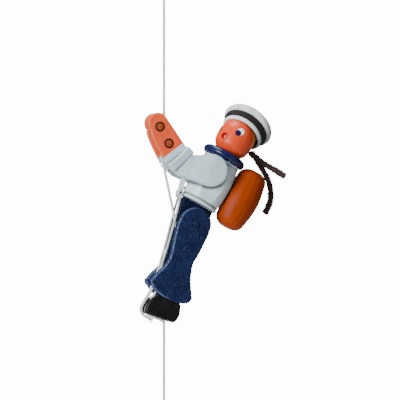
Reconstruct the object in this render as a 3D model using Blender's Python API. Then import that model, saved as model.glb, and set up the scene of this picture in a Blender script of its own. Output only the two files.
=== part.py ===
"""Climbing sailor toy on a taut cord.

The toy faces -X and its left side faces -Y. The cord hangs along the Z axis, and the
origin is the point where a hook holds the ring at its top. Lengths are in metres.
"""
from math import cos, pi, radians, sin

import bmesh
import bpy
from mathutils import Matrix, Vector

MM = 0.001
GAP = 0.3 * MM  # air between two pieces that touch
BOARD_EDGE = 0.7 * MM  # flat taken off a board's edges
SEGMENTS = 36  # sides of a large turned piece
DOWEL_SEGMENTS = 20  # sides of a dowel

# cord, its ring above and its ball below
CORD_RADIUS = 1.2 * MM
RING_RADIUS = 5.0 * MM
RING_WIRE = 1.1 * MM
KNOT_RADIUS = 2.5 * MM
KNOT_LENGTH = 4.8 * MM
BALL_RADIUS = 9.0 * MM
BALL_CENTRE_Z = -364.0 * MM
HANDS_TOP_Z = -118.0 * MM
SOLE_EXIT_Z = -290.5 * MM

# grip: two dowels with the cord between them
GRIP_X = -1.85 * MM
GRIP_Z = -132.8 * MM
HAND_LEAN = -36.2  # degrees that the hand's long axis leans from upright, towards +X
DOWEL_RADIUS = 4.0 * MM
DOWEL_SPACING = 15.7 * MM
DOWEL_SLANT = 8.5  # degrees between the line of the two dowels and the hand's axis
DOWEL_CHAMFER = 0.9 * MM
DOWEL_PROUD = 0.15 * MM

# hand board, in its own frame: Z to the finger tips, X to the back of the hand
HAND_TIP_RADIUS = 8.5 * MM
HAND_TIP_X = 2.0 * MM
HAND_TIP_Z = 11.2 * MM
HAND_LENGTH = 31.0 * MM  # from the centre of the round tip to the cuff
HAND_BACK_X = 8.9 * MM
HAND_PALM_X = -13.2 * MM
HAND_THICKNESS = 6.0 * MM
HAND_INNER_Y = 2.5 * MM  # half the slot between the finger tips
HAND_TOE_IN = 6.1  # degrees that each hand closes towards the tips

# cuff block
CUFF_LEAN = -42.2
CUFF_WIDTH = 23.2 * MM
CUFF_HEIGHT = 7.0 * MM
CUFF_EDGE = 0.8 * MM
CUFF_INNER_Y = 6.2 * MM
CUFF_OUTER_Y = 15.9 * MM
CUFF_FROM_GRIP_Z = -23.8 * MM
CUFF_FROM_GRIP_X = -1.05 * MM

# upper arm, in the frame of the shoulder: X points back from the cuff
ARM_REACH = 26.3 * MM
ARM_DROP = 21.2  # degrees that the arm falls from the cuff to the shoulder
SHOULDER_RADIUS = 13.6 * MM
ARM_THICKNESS = 5.9 * MM
ARM_BEND = 16.7  # degrees that the arm turns in, ahead of the shoulder
ARM_BEND_AHEAD = 1.0 * MM  # where the bend starts, ahead of the shoulder's centre
ARM_DISC_END = 118.0  # degrees of the round shoulder, from straight below, where the straight top edge starts
ARM_TOP_INSET = 0.6 * MM  # from the cuff's upper corner to the arm's
ARM_LOW_INSET = 0.2 * MM
ARM_EDGE = 0.6 * MM
ELBOW_LENGTH = 5.5 * MM
ELBOW_ROUNDING = 3.0 * MM
ELBOW_FRONT_ROUNDING = 1.2 * MM

# body frame: origin at the middle of the waist, Z up the body, X to the back
BODY_LEAN = 29.5
SHOULDER_AHEAD = 8.3 * MM
SHOULDER_HEIGHT = 28.05 * MM
TORSO_LENGTH = 42.0 * MM
TORSO_END_RADIUS = 15.8 * MM
TORSO_MID_RADIUS = 17.5 * MM
TORSO_HALF_WIDTH = 15.0 * MM  # over the milled side flats
HEM_HEIGHT = 2.8 * MM
TOP_RIM_HEIGHT = 2.4 * MM
RIM_GROOVE = 0.5 * MM
TORSO_EDGE = 0.5 * MM
TORSO_TOP_EDGE = 0.6 * MM

COLLAR_RADIUS = 15.2 * MM
COLLAR_TUBE = 3.6 * MM

# head frame: origin in the plane of the collar, Z up the head, X to its back
HEAD_NOD = 4.0  # degrees that the head leans back from the body
HEAD_TURN = 36.0  # degrees that the head is turned to its left
HEAD_RADIUS = 15.8 * MM
HEAD_CENTRE_HEIGHT = 20.0 * MM
HEAD_FOOT = -1.0 * MM
# the jaw, as shares of the head's radius and of the height of its centre
HEAD_JAW = ((0.41, -0.05), (0.54, 0.025), (0.645, 0.15), (0.76, 0.295), (0.86, 0.38),
            (0.93, 0.46), (0.975, 0.64), (1.0, 0.85))
DIMPLE_RADIUS = 1.9 * MM
DIMPLE_BELOW = 6.2 * MM  # below the head's centre
DIMPLE_DEPTH = 1.6 * MM
NECK_RADIUS = 4.0 * MM
NECK_CLEARANCE = 1.45 * MM  # wood left between the neck dowel and the shoulder dowel
NECK_IN_HEAD = 12.0 * MM

# cap, in its own frame: origin in the middle of its lower edge, Z up the cap
CAP_SEAT = 5.3 * MM  # from the head's centre to the cap's lower edge
CAP_BACK = 0.5 * MM  # the cap's hold on the head is a little loose
CAP_ASIDE = 0.6 * MM
CAP_BACK_TILT = 23.2
CAP_SIDE_TILT = 14.0
LIP_INNER_RADIUS = 16.3 * MM
LIP_RADIUS = 17.2 * MM
LIP_FLARE = 1.3 * MM
LIP_HEIGHT = 3.3 * MM
LIP_EDGE = 0.5 * MM
BAND_HEIGHT = 4.3 * MM
BAND_THICKNESS = 1.4 * MM
BAND_FLARE = 1.2 * MM
CROWN_RADIUS = 22.3 * MM
CROWN_HEIGHT = 9.0 * MM
# the crown's side, as shares of its radius and height
CROWN_SIDE = ((0.982, 0.22), (1.0, 0.42), (0.973, 0.64), (0.9, 0.83), (0.772, 0.95), (0.543, 1.0), (0.0, 1.054))

RIBBON_RADIUS = 2.1 * MM

# backpack, in the body frame
PACK_RADIUS = 15.2 * MM
PACK_END_RADIUS = 12.9 * MM
PACK_LENGTH = 53.2 * MM
PACK_ROUNDING = 9.2 * MM
PACK_BEHIND = 30.3 * MM
PACK_HEIGHT = 22.0 * MM
PACK_DOWEL_RADIUS = 2.5 * MM
PACK_DOWEL_INSET = 17.6 * MM  # from each end of the backpack
PACK_DOWEL_DEPTH = 6.0 * MM

# pelvis board and hip, in the body frame
PELVIS_THICKNESS = 10.0 * MM
HIP_BEHIND = 3.8 * MM
HIP_BELOW = 16.3 * MM
PELVIS_ROUND = 12.0 * MM
PELVIS_FRONT = 14.2 * MM
PELVIS_BACK = 13.0 * MM
PELVIS_EDGE = 0.8 * MM
WAIST_DOWEL_RADIUS = 3.5 * MM
WAIST_DOWEL_DEPTH = 12.0 * MM
SHOULDER_DOWEL_RADIUS = 3.0 * MM
SHOULDER_DOWEL_BEHIND = 3.0 * MM
SHOULDER_DOWEL_DEPTH = 3.6 * MM
NECK_IN_TORSO = TORSO_LENGTH - SHOULDER_HEIGHT - SHOULDER_DOWEL_RADIUS - NECK_CLEARANCE

# leg board, in the frame of the hip: Z up the leg, X to its back
LEG_LEAN = 18.6
LEG_THICKNESS = 7.5 * MM
THIGH_FRONT = 14.8 * MM
THIGH_BACK = 13.2 * MM
THIGH_TOP = 13.6 * MM
KNEE_BELOW = 31.0 * MM
KNEE_FRONT = 12.4 * MM
KNEE_BACK = 8.3 * MM
HEM_BELOW = 56.5 * MM
HEM_FRONT = 21.9 * MM
HEM_BACK = 16.6 * MM
HEM_SAG = 10.6 * MM
HIP_DOWEL_RADIUS = 3.0 * MM
HIP_CLEARANCE = 0.25 * MM
GUIDE_RADIUS = 3.5 * MM
GUIDE_AHEAD = 8.35 * MM
GUIDE_BELOW = 23.2 * MM
GUIDE_DEPTH = 4.0 * MM
LEG_EDGE = 0.9 * MM
HIP_DOWEL_CHAMFER = 0.3 * MM

# shoes, in the frame of the hip
SHOE_SLOT = 3.2 * MM
SHOE_HALF_WIDTH = 8.0 * MM
SOLE_BELOW = 83.5 * MM
TOE_FRONT = 16.2 * MM
HEEL_BACK = 11.3 * MM
SHOE_HEIGHT = 15.9 * MM
# the tongue in the trouser leg: where it starts above the sole, its foot and its tip
TONGUE_ABOVE = 12.0 * MM
TONGUE_FRONT = 9.5 * MM
TONGUE_BACK = 7.5 * MM
TONGUE_TIP_FRONT = 5.5 * MM
TONGUE_TIP_BACK = 4.5 * MM
TONGUE_TOP_BELOW = 50.0 * MM
STAPLE_RADIUS = 0.5 * MM
STAPLE_AHEAD = 8.6 * MM
STAPLE_DROP = 5.2 * MM
STAPLE_DEPTH = 4.0 * MM
STAPLE_CORNER = 1.0 * MM
STAPLE_SPREAD = 0.4 * MM  # past the middle of each shoe

# chest block and its nail, in the body frame
BLOCK_LENGTH = 13.6 * MM
BLOCK_DEPTH = 4.2 * MM
BLOCK_WIDTH = 5.0 * MM
BLOCK_LEAN = -16.0
BLOCK_AHEAD = 18.2 * MM
BLOCK_FOOT = 1.0 * MM  # below its frame
BLOCK_EDGE = 0.5 * MM
BLOCK_PEG_RADIUS = 1.5 * MM
BLOCK_PEG_LENGTH = 8.0 * MM
BLOCK_PEG_HEIGHT = 6.6 * MM
BLOCK_PEG_IN_BLOCK = 2.6 * MM
BLOCK_PEG_HOLE = 1.8 * MM  # past the block's middle
NAIL_RADIUS = 0.6 * MM
NAIL_HALF_LENGTH = 4.9 * MM
NAIL_HEIGHT = 1.4 * MM
NAIL_AHEAD = 0.3 * MM
ELASTIC_RADIUS = 0.95 * MM
ELASTIC_TURN_BACK = 1.6 * MM  # the turn under the toe, from the ends of the two strands
ELASTIC_TURN_BELOW = 0.4 * MM

# the cord's route from the hands to the sole, in x and z
HAND_ROUTE = (
    (0.05, -118.3), (0.05, -121.0), (0.1, -126.0), (-1.2, -131.4),
    (-3.0, -136.0), (-3.85, -139.8), (-3.5, -144.0), (-2.4, -149.0), (-1.35, -153.2),
)
FOOT_ROUTE = (
    (-1.3, -153.5), (0.4, -161.3), (3.7, -176.5), (6.9, -191.2), (10.2, -206.4),
    (12.6, -217.4), (14.1, -223.3), (14.3, -226.6), (13.4, -229.6), (8.2, -238.2),
    (2.0, -248.4), (-4.2, -258.6), (-10.4, -268.6), (-14.2, -274.2), (-15.6, -277.7),
    (-14.6, -281.2), (-11.4, -283.1), (-6.6, -284.9), (-3.2, -286.3), (-1.1, -287.9),
    (0.0, -290.2),
)
# one strand of the elastic, in x, half the distance between the strands, and z
ELASTIC_ROUTE = (
    (12.9, 3.7, -181.7), (11.9, 3.5, -184.8), (9.6, 3.0, -193.0), (6.8, 2.6, -203.0),
    (2.4, 1.9, -219.0), (-1.2, 1.4, -232.0), (-4.8, 1.1, -246.0), (-8.2, 1.1, -255.0),
    (-12.8, 1.1, -264.5), (-17.6, 1.1, -271.6), (-20.0, 1.1, -276.9), (-19.2, 1.1, -281.5),
    (-16.0, 1.1, -284.3), (-11.8, 1.1, -286.1),
)
LEFT_RIBBON = (
    (78.5, 9.2, -146.6), (80.6, 9.7, -148.6), (83.9, 10.5, -151.4), (87.0, 10.9, -154.6),
    (90.2, 11.0, -157.0), (94.6, 11.0, -159.8), (100.0, 11.0, -162.5), (107.8, 11.0, -166.8),
)
RIGHT_RIBBON = (
    (78.5, 13.7, -146.6), (80.6, 14.2, -148.6), (83.9, 15.0, -151.8), (86.6, 15.4, -156.0),
    (89.6, 15.6, -160.8), (92.9, 15.6, -167.0), (95.1, 15.6, -173.0), (96.3, 15.6, -180.0),
    (95.9, 15.6, -187.5), (93.2, 15.6, -194.6), (91.2, 15.6, -198.4),
)


def clear_scene():
    for thing in list(bpy.data.objects):
        bpy.data.objects.remove(thing, do_unlink=True)


def paint(name, colour, roughness, metallic=0.0):
    material = bpy.data.materials.get(name)
    if material:
        return material
    material = bpy.data.materials.new(name)
    material.use_nodes = True
    shader = material.node_tree.nodes["Principled BSDF"]
    shader.inputs["Base Color"].default_value = (*colour, 1.0)
    shader.inputs["Roughness"].default_value = roughness
    shader.inputs["Metallic"].default_value = metallic
    material.diffuse_color = (*colour, 1.0)
    return material


def make_paints():
    return {
        "skin": paint("skin_paint", (0.75, 0.16, 0.06), 0.45),
        "face": paint("face_gloss", (0.80, 0.13, 0.05), 0.2),
        "white": paint("white_paint", (0.62, 0.66, 0.68), 0.4),
        "navy": paint("navy_paint", (0.01, 0.03, 0.10), 0.45),
        "navy_gloss": paint("navy_gloss", (0.01, 0.02, 0.10), 0.15),
        "black": paint("shoe_black", (0.015, 0.012, 0.014), 0.35),
        "felt": paint("black_felt", (0.02, 0.017, 0.016), 0.9),
        "cap": paint("cap_white", (0.70, 0.72, 0.73), 0.7),
        "stain": paint("red_brown_stain", (0.40, 0.08, 0.015), 0.2),
        "beech": paint("bare_beech", (0.45, 0.17, 0.06), 0.5),
        "cord": paint("braided_cord", (0.60, 0.63, 0.62), 0.8),
        "elastic": paint("white_elastic", (0.72, 0.75, 0.74), 0.6),
        "steel": paint("steel_wire", (0.35, 0.34, 0.33), 0.3, 1.0),
        "brass": paint("brass_wire", (0.70, 0.50, 0.20), 0.3, 1.0),
    }


def frame(name, x, z, lean, parent=None, y=0.0):
    """An empty that carries pieces; lean is in degrees about Y, towards +X."""
    empty = bpy.data.objects.new(name, None)
    bpy.context.collection.objects.link(empty)
    empty.location = (x, y, z)
    empty.rotation_euler = (0.0, radians(lean), 0.0)
    empty.empty_display_size = 5.0 * MM
    empty.parent = parent
    return empty


def add(name, mesh, material, parent):
    piece = bpy.data.objects.new(name, mesh)
    bpy.context.collection.objects.link(piece)
    piece.parent = parent
    if material:
        mesh.materials.clear()
        mesh.materials.append(material)
    return piece


def finish_mesh(bm, name, sharp=35.0):
    bmesh.ops.recalc_face_normals(bm, faces=bm.faces)
    mesh = bpy.data.meshes.new(name)
    bm.to_mesh(mesh)
    bm.free()
    mesh.shade_smooth()
    mesh.set_sharp_from_angle(angle=radians(sharp))
    return mesh


def turned(name, profile, material, parent, segments=SEGMENTS):
    """A piece turned about its frame's Z from a profile of (radius, height)."""
    bm = bmesh.new()
    rings = []
    for radius, height in profile:
        if radius < 1e-7:
            rings.append([bm.verts.new((0.0, 0.0, height))])
        else:
            rings.append([
                bm.verts.new((radius * cos(2 * pi * k / segments),
                              radius * sin(2 * pi * k / segments), height))
                for k in range(segments)
            ])
    closed = profile[0] == profile[-1]
    if closed:
        for vert in rings.pop():
            bm.verts.remove(vert)
    for k in range(len(rings) if closed else len(rings) - 1):
        bridge(bm, rings[k], rings[(k + 1) % len(rings)], segments)
    for ring in (rings[0], rings[-1]):
        if not closed and len(ring) > 1:
            bm.faces.new(ring)
    return add(name, finish_mesh(bm, name), material, parent)


def bridge(bm, low, high, segments):
    for k in range(segments):
        after = (k + 1) % segments
        corners = [low[k % len(low)], low[after % len(low)], high[after % len(high)], high[k % len(high)]]
        distinct = list(dict.fromkeys(corners))
        if len(distinct) > 2:
            bm.faces.new(distinct)


def arc(centre_x, centre_z, radius, start, end, count):
    """Points on an arc, with angles in degrees from +X towards +Z."""
    return [
        (centre_x + radius * cos(radians(start + (end - start) * k / (count - 1))),
         centre_z + radius * sin(radians(start + (end - start) * k / (count - 1))))
        for k in range(count)
    ]


def rounded(points, radius, count=4):
    """The outline with each corner that has a radius replaced by an arc of about that radius."""
    outline = []
    total = len(points)
    for k, corner in enumerate(points):
        r = radius[k] if isinstance(radius, (list, tuple)) else radius
        here = Vector(corner)
        before = Vector(points[k - 1]) - here
        after = Vector(points[(k + 1) % total]) - here
        if r <= 0.0:
            outline.append(tuple(here))
            continue
        half = before.angle(after) / 2
        reach = min(r / max(1e-6, abs(sin(half) / cos(half))), before.length * 0.48, after.length * 0.48)
        first = here + before.normalized() * reach
        last = here + after.normalized() * reach
        for step in range(count + 1):
            t = step / count
            point = first * (1 - t) ** 2 + here * 2 * t * (1 - t) + last * t ** 2
            outline.append(tuple(point))
    return outline


def smooth_path(points, steps):
    """Points on a smooth curve through the given points, evenly shared out."""
    points = [Vector(p) for p in points]
    ends = [points[0] * 2 - points[1]] + points + [points[-1] * 2 - points[-2]]
    path = []
    for k in range(1, len(ends) - 2):
        a, b, c, d = ends[k - 1:k + 3]
        for step in range(steps):
            t = step / steps
            path.append(
                (b * 2 + (c - a) * t + (a * 2 - b * 5 + c * 4 - d) * t ** 2
                 + (b * 3 - a - c * 3 + d) * t ** 3) / 2
            )
    return path + [points[-1]]


def evenly(path, spacing):
    """The path again, with a point about every spacing."""
    lengths = [0.0]
    for before, after in zip(path, path[1:]):
        lengths.append(lengths[-1] + (after - before).length)
    count = max(2, round(lengths[-1] / spacing) + 1)
    result, k = [], 0
    for n in range(count):
        goal = lengths[-1] * n / (count - 1)
        while k < len(lengths) - 2 and lengths[k + 1] < goal:
            k += 1
        span = lengths[k + 1] - lengths[k]
        t = 0.0 if span < 1e-12 else (goal - lengths[k]) / span
        result.append(path[k].lerp(path[k + 1], min(1.0, t)))
    return result


def board(name, outline, near, far, material, parent, shift=None, cuts=(), bevel=BOARD_EDGE,
          bevel_steps=1):
    """A flat board with an outline in X and Z, from Y near to Y far; shift moves its points along Y."""
    bm = bmesh.new()
    face = bm.faces.new([bm.verts.new((x, near, z)) for x, z in outline])
    side = bmesh.ops.extrude_face_region(bm, geom=[face])
    verts = [v for v in side["geom"] if isinstance(v, bmesh.types.BMVert)]
    bmesh.ops.translate(bm, verts=verts, vec=(0.0, far - near, 0.0))
    for point, normal in cuts:
        geom = bm.verts[:] + bm.edges[:] + bm.faces[:]
        bmesh.ops.bisect_plane(bm, geom=geom, dist=1e-7, plane_co=point, plane_no=normal)
    if shift:
        for vert in bm.verts:
            vert.co.y += shift(vert.co)
    piece = add(name, finish_mesh(bm, name), material, parent)
    if bevel:
        edge = piece.modifiers.new("edges", "BEVEL")
        edge.width = bevel
        edge.segments = bevel_steps
        edge.limit_method = "ANGLE"
        edge.angle_limit = radians(50.0)
    return piece


def rod(name, length, radius, material, parent, chamfer=0.0, segments=DOWEL_SEGMENTS):
    """A dowel along its frame's Y, centred."""
    half = length / 2
    profile = [(radius - chamfer, -half), (radius, -half + chamfer),
               (radius, half - chamfer), (radius - chamfer, half)]
    if chamfer == 0.0:
        profile = [(radius, -half), (radius, half)]
    piece = turned(name, profile, material, parent, segments)
    piece.data.transform(Matrix.Rotation(radians(-90.0), 4, "X"))
    return piece


def cutter(piece, guide):
    """The guide is cut out of the piece."""
    guide.hide_render = True
    guide.display_type = "WIRE"
    cut = piece.modifiers.new("cut_" + guide.name, "BOOLEAN")
    cut.operation = "DIFFERENCE"
    cut.solver = "EXACT"
    cut.object = guide


def bore(piece, length, radius, parent, location, direction="Y", segments=DOWEL_SEGMENTS):
    """A round hole in the piece, centred at a place in the parent's frame."""
    name = f"bore_{piece.name}_{len(piece.modifiers)}"
    guide = turned(name, [(radius, -length / 2), (radius, length / 2)], None, parent, segments)
    if direction == "Y":
        guide.data.transform(Matrix.Rotation(radians(-90.0), 4, "X"))
    if direction == "X":
        guide.data.transform(Matrix.Rotation(radians(90.0), 4, "Y"))
    guide.location = location
    cutter(piece, guide)
    return guide


def block_cut(piece, low, high, parent):
    """A box cut out of the piece, between two corners in the parent's frame."""
    bm = bmesh.new()
    bmesh.ops.create_cube(bm, size=1.0)
    size = Vector(high) - Vector(low)
    bmesh.ops.scale(bm, vec=size, verts=bm.verts)
    bmesh.ops.translate(bm, vec=(Vector(low) + Vector(high)) / 2, verts=bm.verts)
    name = f"box_{piece.name}_{len(piece.modifiers)}"
    cutter(piece, add(name, finish_mesh(bm, name), None, parent))


def tube(name, points, radius, material, spacing, cyclic=False):
    """A cord as a curve through points in world metres."""
    route = evenly(smooth_path(points, 8), spacing)
    if cyclic:
        route.pop()
    curve = bpy.data.curves.new(name, "CURVE")
    curve.dimensions = "3D"
    curve.bevel_depth = radius
    curve.bevel_resolution = 2
    curve.use_fill_caps = True
    spline = curve.splines.new("POLY")
    spline.points.add(len(route) - 1)
    for slot, place in zip(spline.points, route):
        slot.co = (*place, 1.0)
    spline.use_cyclic_u = cyclic
    piece = bpy.data.objects.new(name, curve)
    bpy.context.collection.objects.link(piece)
    curve.materials.append(material)
    return piece


def torus(name, major, minor, material, parent, sides=SEGMENTS, ring=12):
    profile = [(major + minor * cos(2 * pi * k / ring), minor * sin(2 * pi * k / ring)) for k in range(ring)]
    return turned(name, profile + profile[:1], material, parent, sides)


def knot(name, top, material):
    """Three close turns of the cord round itself."""
    profile = [(0.0, 0.0)]
    turns, steps = 3, 4
    pitch = KNOT_LENGTH / turns
    for k in range(turns * steps + 1):
        wave = abs(sin(pi * k / steps))
        profile.append((KNOT_RADIUS * (0.82 + 0.18 * wave), -KNOT_LENGTH * k / (turns * steps)))
    profile.append((0.0, -turns * pitch))
    return turned(name, profile, material, frame(name + "_frame", 0.0, top, 0.0), 12)


def make_cord_line(paints):
    ring = torus("hanging_ring", RING_RADIUS, RING_WIRE, paints["brass"],
                 frame("ring_frame", 0.0, -(RING_RADIUS - RING_WIRE), 0.0), 24, 8)
    ring.data.transform(Matrix.Rotation(radians(90.0), 4, "X"))
    eye_radius = RING_WIRE + GAP + CORD_RADIUS
    eye_z = -(2 * RING_RADIUS - RING_WIRE)
    eye = torus("cord_eye", eye_radius, CORD_RADIUS, paints["cord"],
                frame("eye_frame", 0.0, eye_z, 0.0), 20, 8)
    eye.data.transform(Matrix.Rotation(radians(90.0), 4, "Y"))
    knot_top = eye_z - eye_radius - CORD_RADIUS - GAP
    knot("top_knot", knot_top, paints["cord"])
    cord_top = knot_top - KNOT_LENGTH - GAP
    spacing = 5.0 * CORD_RADIUS
    tube("upper_cord", [(0, 0, cord_top), (0, 0, (cord_top + HANDS_TOP_Z) / 2), (0, 0, HANDS_TOP_Z)],
         CORD_RADIUS, paints["cord"], spacing)
    ball_frame = frame("ball_frame", 0.0, BALL_CENTRE_Z, 0.0)
    steps = 10
    profile = [(BALL_RADIUS * sin(pi * k / steps), BALL_RADIUS * cos(pi * k / steps)) for k in range(steps + 1)]
    profile[0] = (0.0, BALL_RADIUS)
    profile[-1] = (0.0, -BALL_RADIUS)
    ball = turned("pull_ball", profile, paints["stain"], ball_frame, 20)
    bore(ball, BALL_RADIUS * 3, CORD_RADIUS + GAP, ball_frame, (0, 0, 0), "Z", 12)
    ball_foot = BALL_CENTRE_Z - BALL_RADIUS
    tube("lower_cord", [(0, 0, SOLE_EXIT_Z - GAP), (0, 0, (SOLE_EXIT_Z + ball_foot) / 2), (0, 0, ball_foot)],
         CORD_RADIUS, paints["cord"], spacing)
    knot("bottom_knot", ball_foot - GAP, paints["cord"])
    tube("grip_cord", [(x * MM, 0.0, z * MM) for x, z in HAND_ROUTE], CORD_RADIUS, paints["cord"], spacing * 0.8)
    tube("middle_cord", [(x * MM, 0.0, z * MM) for x, z in FOOT_ROUTE], CORD_RADIUS, paints["cord"], spacing * 0.8)


def hand_shift(side):
    slope = sin(radians(HAND_TOE_IN))
    return lambda co: side * slope * (HAND_TIP_Z - co.z)


def hand_outer(z):
    return HAND_INNER_Y + HAND_THICKNESS + sin(radians(HAND_TOE_IN)) * (HAND_TIP_Z - z)


def make_hand(side, name, paints, grip):
    """A board with a round tip, which widens towards the wrist on the palm's side."""
    foot = HAND_TIP_Z - HAND_LENGTH
    palm = HAND_TIP_X - HAND_TIP_RADIUS
    outline = arc(HAND_TIP_X, HAND_TIP_Z, HAND_TIP_RADIUS, 4.0, 178.0, 15)
    outline += [
        (palm - 0.35 * (palm - HAND_PALM_X), HAND_TIP_Z - HAND_LENGTH * 0.17),
        (palm - 0.68 * (palm - HAND_PALM_X), HAND_TIP_Z - HAND_LENGTH * 0.50),
        (HAND_PALM_X, foot), (HAND_BACK_X, foot),
    ]
    near, far = sorted((side * HAND_INNER_Y, side * (HAND_INNER_Y + HAND_THICKNESS)))
    hand = board(name, outline, near, far, paints["skin"], grip, hand_shift(side))
    for dowel_x, dowel_z in dowel_places():
        bore(hand, 4 * HAND_THICKNESS, DOWEL_RADIUS + GAP, grip,
             (dowel_x, side * (HAND_INNER_Y + HAND_THICKNESS), dowel_z))
    return hand


def dowel_places():
    slant = radians(DOWEL_SLANT)
    half = DOWEL_SPACING / 2
    return [(half * sin(slant), half * cos(slant)), (-half * sin(slant), -half * cos(slant))]


def make_grip(paints):
    """Hands and the dowels that the cord zigzags between."""
    grip = frame("grip_frame", GRIP_X, GRIP_Z, HAND_LEAN)
    for side, name in ((-1, "left_hand"), (1, "right_hand")):
        make_hand(side, name, paints, grip)
    for (x, z), name in zip(dowel_places(), ("upper_grip_dowel", "lower_grip_dowel")):
        half = hand_outer(z) + DOWEL_PROUD
        dowel = rod(name, 2 * half, DOWEL_RADIUS, paints["beech"], grip, DOWEL_CHAMFER, 28)
        dowel.location = (x, 0.0, z)
    return grip


def make_cuffs(paints, grip):
    cuffs = frame("cuff_frame", CUFF_FROM_GRIP_X, CUFF_FROM_GRIP_Z, CUFF_LEAN - HAND_LEAN, grip)
    half_w, half_h = CUFF_WIDTH / 2, CUFF_HEIGHT / 2
    outline = [(-half_w, -half_h), (half_w, -half_h), (half_w, half_h), (-half_w, half_h)]
    for side, name in ((-1, "left_cuff"), (1, "right_cuff")):
        near, far = sorted((side * CUFF_INNER_Y, side * CUFF_OUTER_Y))
        cuff = board(name, outline, near, far, paints["white"], cuffs, bevel=CUFF_EDGE)
        # mortise for the end of the hand board
        foot = HAND_TIP_Z - HAND_LENGTH
        low_y, high_y = sorted((side * (hand_outer(foot) - HAND_THICKNESS - GAP), side * (hand_outer(foot) + GAP)))
        block_cut(cuff, (HAND_PALM_X - GAP, low_y, foot - GAP),
                  (HAND_BACK_X + GAP, high_y, HAND_TIP_Z), grip)
    return cuffs


def arm_bend(side):
    """The arm runs beside the torso behind the shoulder, and turns in ahead of it."""
    slope = sin(radians(ARM_BEND))
    def shift(co):
        ahead = -co.x - ARM_BEND_AHEAD
        return -side * slope * max(0.0, ahead)
    return shift


def make_upper_arms(paints, cuffs, shoulder):
    bpy.context.view_layer.update()
    to_shoulder = shoulder.matrix_world.inverted() @ cuffs.matrix_world
    back_of_cuff = -CUFF_HEIGHT / 2 - GAP
    top = to_shoulder @ Vector((CUFF_WIDTH / 2 - ARM_TOP_INSET, 0.0, back_of_cuff))
    low = to_shoulder @ Vector((-CUFF_WIDTH / 2 + ARM_LOW_INSET, 0.0, back_of_cuff))
    disc = arc(0.0, 0.0, SHOULDER_RADIUS, -90.0, ARM_DISC_END, 20)
    elbow_x = low.x + ELBOW_LENGTH
    outline = disc + [(top.x, top.z)]
    outline += rounded([(top.x, top.z), (low.x, low.z), (elbow_x, -SHOULDER_RADIUS), disc[0]],
                       [0.0, ELBOW_FRONT_ROUNDING, ELBOW_ROUNDING, 0.0], 3)[1:-1]
    inner = TORSO_HALF_WIDTH + GAP
    bend_line = [((-ARM_BEND_AHEAD, 0, 0), (1, 0, 0))]
    for side, name in ((-1, "left_upper_arm"), (1, "right_upper_arm")):
        near, far = sorted((side * inner, side * (inner + ARM_THICKNESS)))
        arm = board(name, outline, near, far, paints["white"], shoulder, arm_bend(side), bend_line, ARM_EDGE)
        bore(arm, 2 * SHOULDER_DOWEL_DEPTH, SHOULDER_DOWEL_RADIUS + GAP, shoulder,
             (SHOULDER_DOWEL_BEHIND, side * inner, 0.0))
    dowel = rod("shoulder_dowel", 2 * (inner + SHOULDER_DOWEL_DEPTH - GAP), SHOULDER_DOWEL_RADIUS,
                paints["beech"], shoulder)
    dowel.location.x = SHOULDER_DOWEL_BEHIND


def make_torso(paints, body, shoulder, neck):
    """A turned barrel with a hem and a top rim, milled flat at both sides between them."""
    rise = TORSO_MID_RADIUS - TORSO_END_RADIUS
    profile = [(0.0, 0.0), (TORSO_END_RADIUS - TORSO_EDGE, 0.0), (TORSO_END_RADIUS, TORSO_EDGE),
               (TORSO_END_RADIUS, HEM_HEIGHT - RIM_GROOVE), (TORSO_END_RADIUS - RIM_GROOVE, HEM_HEIGHT)]
    low, high = HEM_HEIGHT + RIM_GROOVE, TORSO_LENGTH - TOP_RIM_HEIGHT
    steps = 5
    for k in range(steps + 1):
        profile.append((TORSO_END_RADIUS + rise * sin(pi * k / steps), low + (high - low) * k / steps))
    profile += [(TORSO_END_RADIUS, TORSO_LENGTH - TORSO_TOP_EDGE), (TORSO_END_RADIUS - TORSO_TOP_EDGE, TORSO_LENGTH),
                (0.0, TORSO_LENGTH)]
    torso = turned("torso", profile, paints["white"], body)
    for side in (-1, 1):
        near, far = sorted((side * TORSO_HALF_WIDTH, side * 2 * TORSO_MID_RADIUS))
        block_cut(torso, (-2 * TORSO_MID_RADIUS, near, HEM_HEIGHT), (2 * TORSO_MID_RADIUS, far, 2 * TORSO_LENGTH), body)
    bore(torso, 4 * TORSO_MID_RADIUS, SHOULDER_DOWEL_RADIUS + GAP, shoulder, (SHOULDER_DOWEL_BEHIND, 0.0, 0.0))
    bore(torso, 2 * (WAIST_DOWEL_DEPTH + GAP), WAIST_DOWEL_RADIUS + GAP, body, (0.0, 0.0, 0.0), "Z")
    bore(torso, 2 * (NECK_IN_TORSO + GAP), NECK_RADIUS + GAP, neck, (0.0, 0.0, -COLLAR_TUBE), "Z")
    for z in pack_dowel_heights():
        bore(torso, 2 * (PACK_DOWEL_DEPTH + GAP), PACK_DOWEL_RADIUS + GAP, body, (TORSO_MID_RADIUS, 0.0, z), "X", 16)
    bore(torso, 2 * BLOCK_PEG_LENGTH, BLOCK_PEG_RADIUS + GAP, body, (-TORSO_MID_RADIUS, 0.0, BLOCK_PEG_HEIGHT), "X", 12)
    return torso


def pack_dowel_heights():
    reach = PACK_LENGTH / 2 - PACK_DOWEL_INSET
    return [PACK_HEIGHT - reach, PACK_HEIGHT + reach]


def make_waist_dowel(paints, body):
    dowel = rod("waist_dowel", 2 * WAIST_DOWEL_DEPTH, WAIST_DOWEL_RADIUS, paints["beech"], body)
    dowel.data.transform(Matrix.Rotation(radians(90.0), 4, "X"))
    dowel.location.z = -GAP / 2


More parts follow.
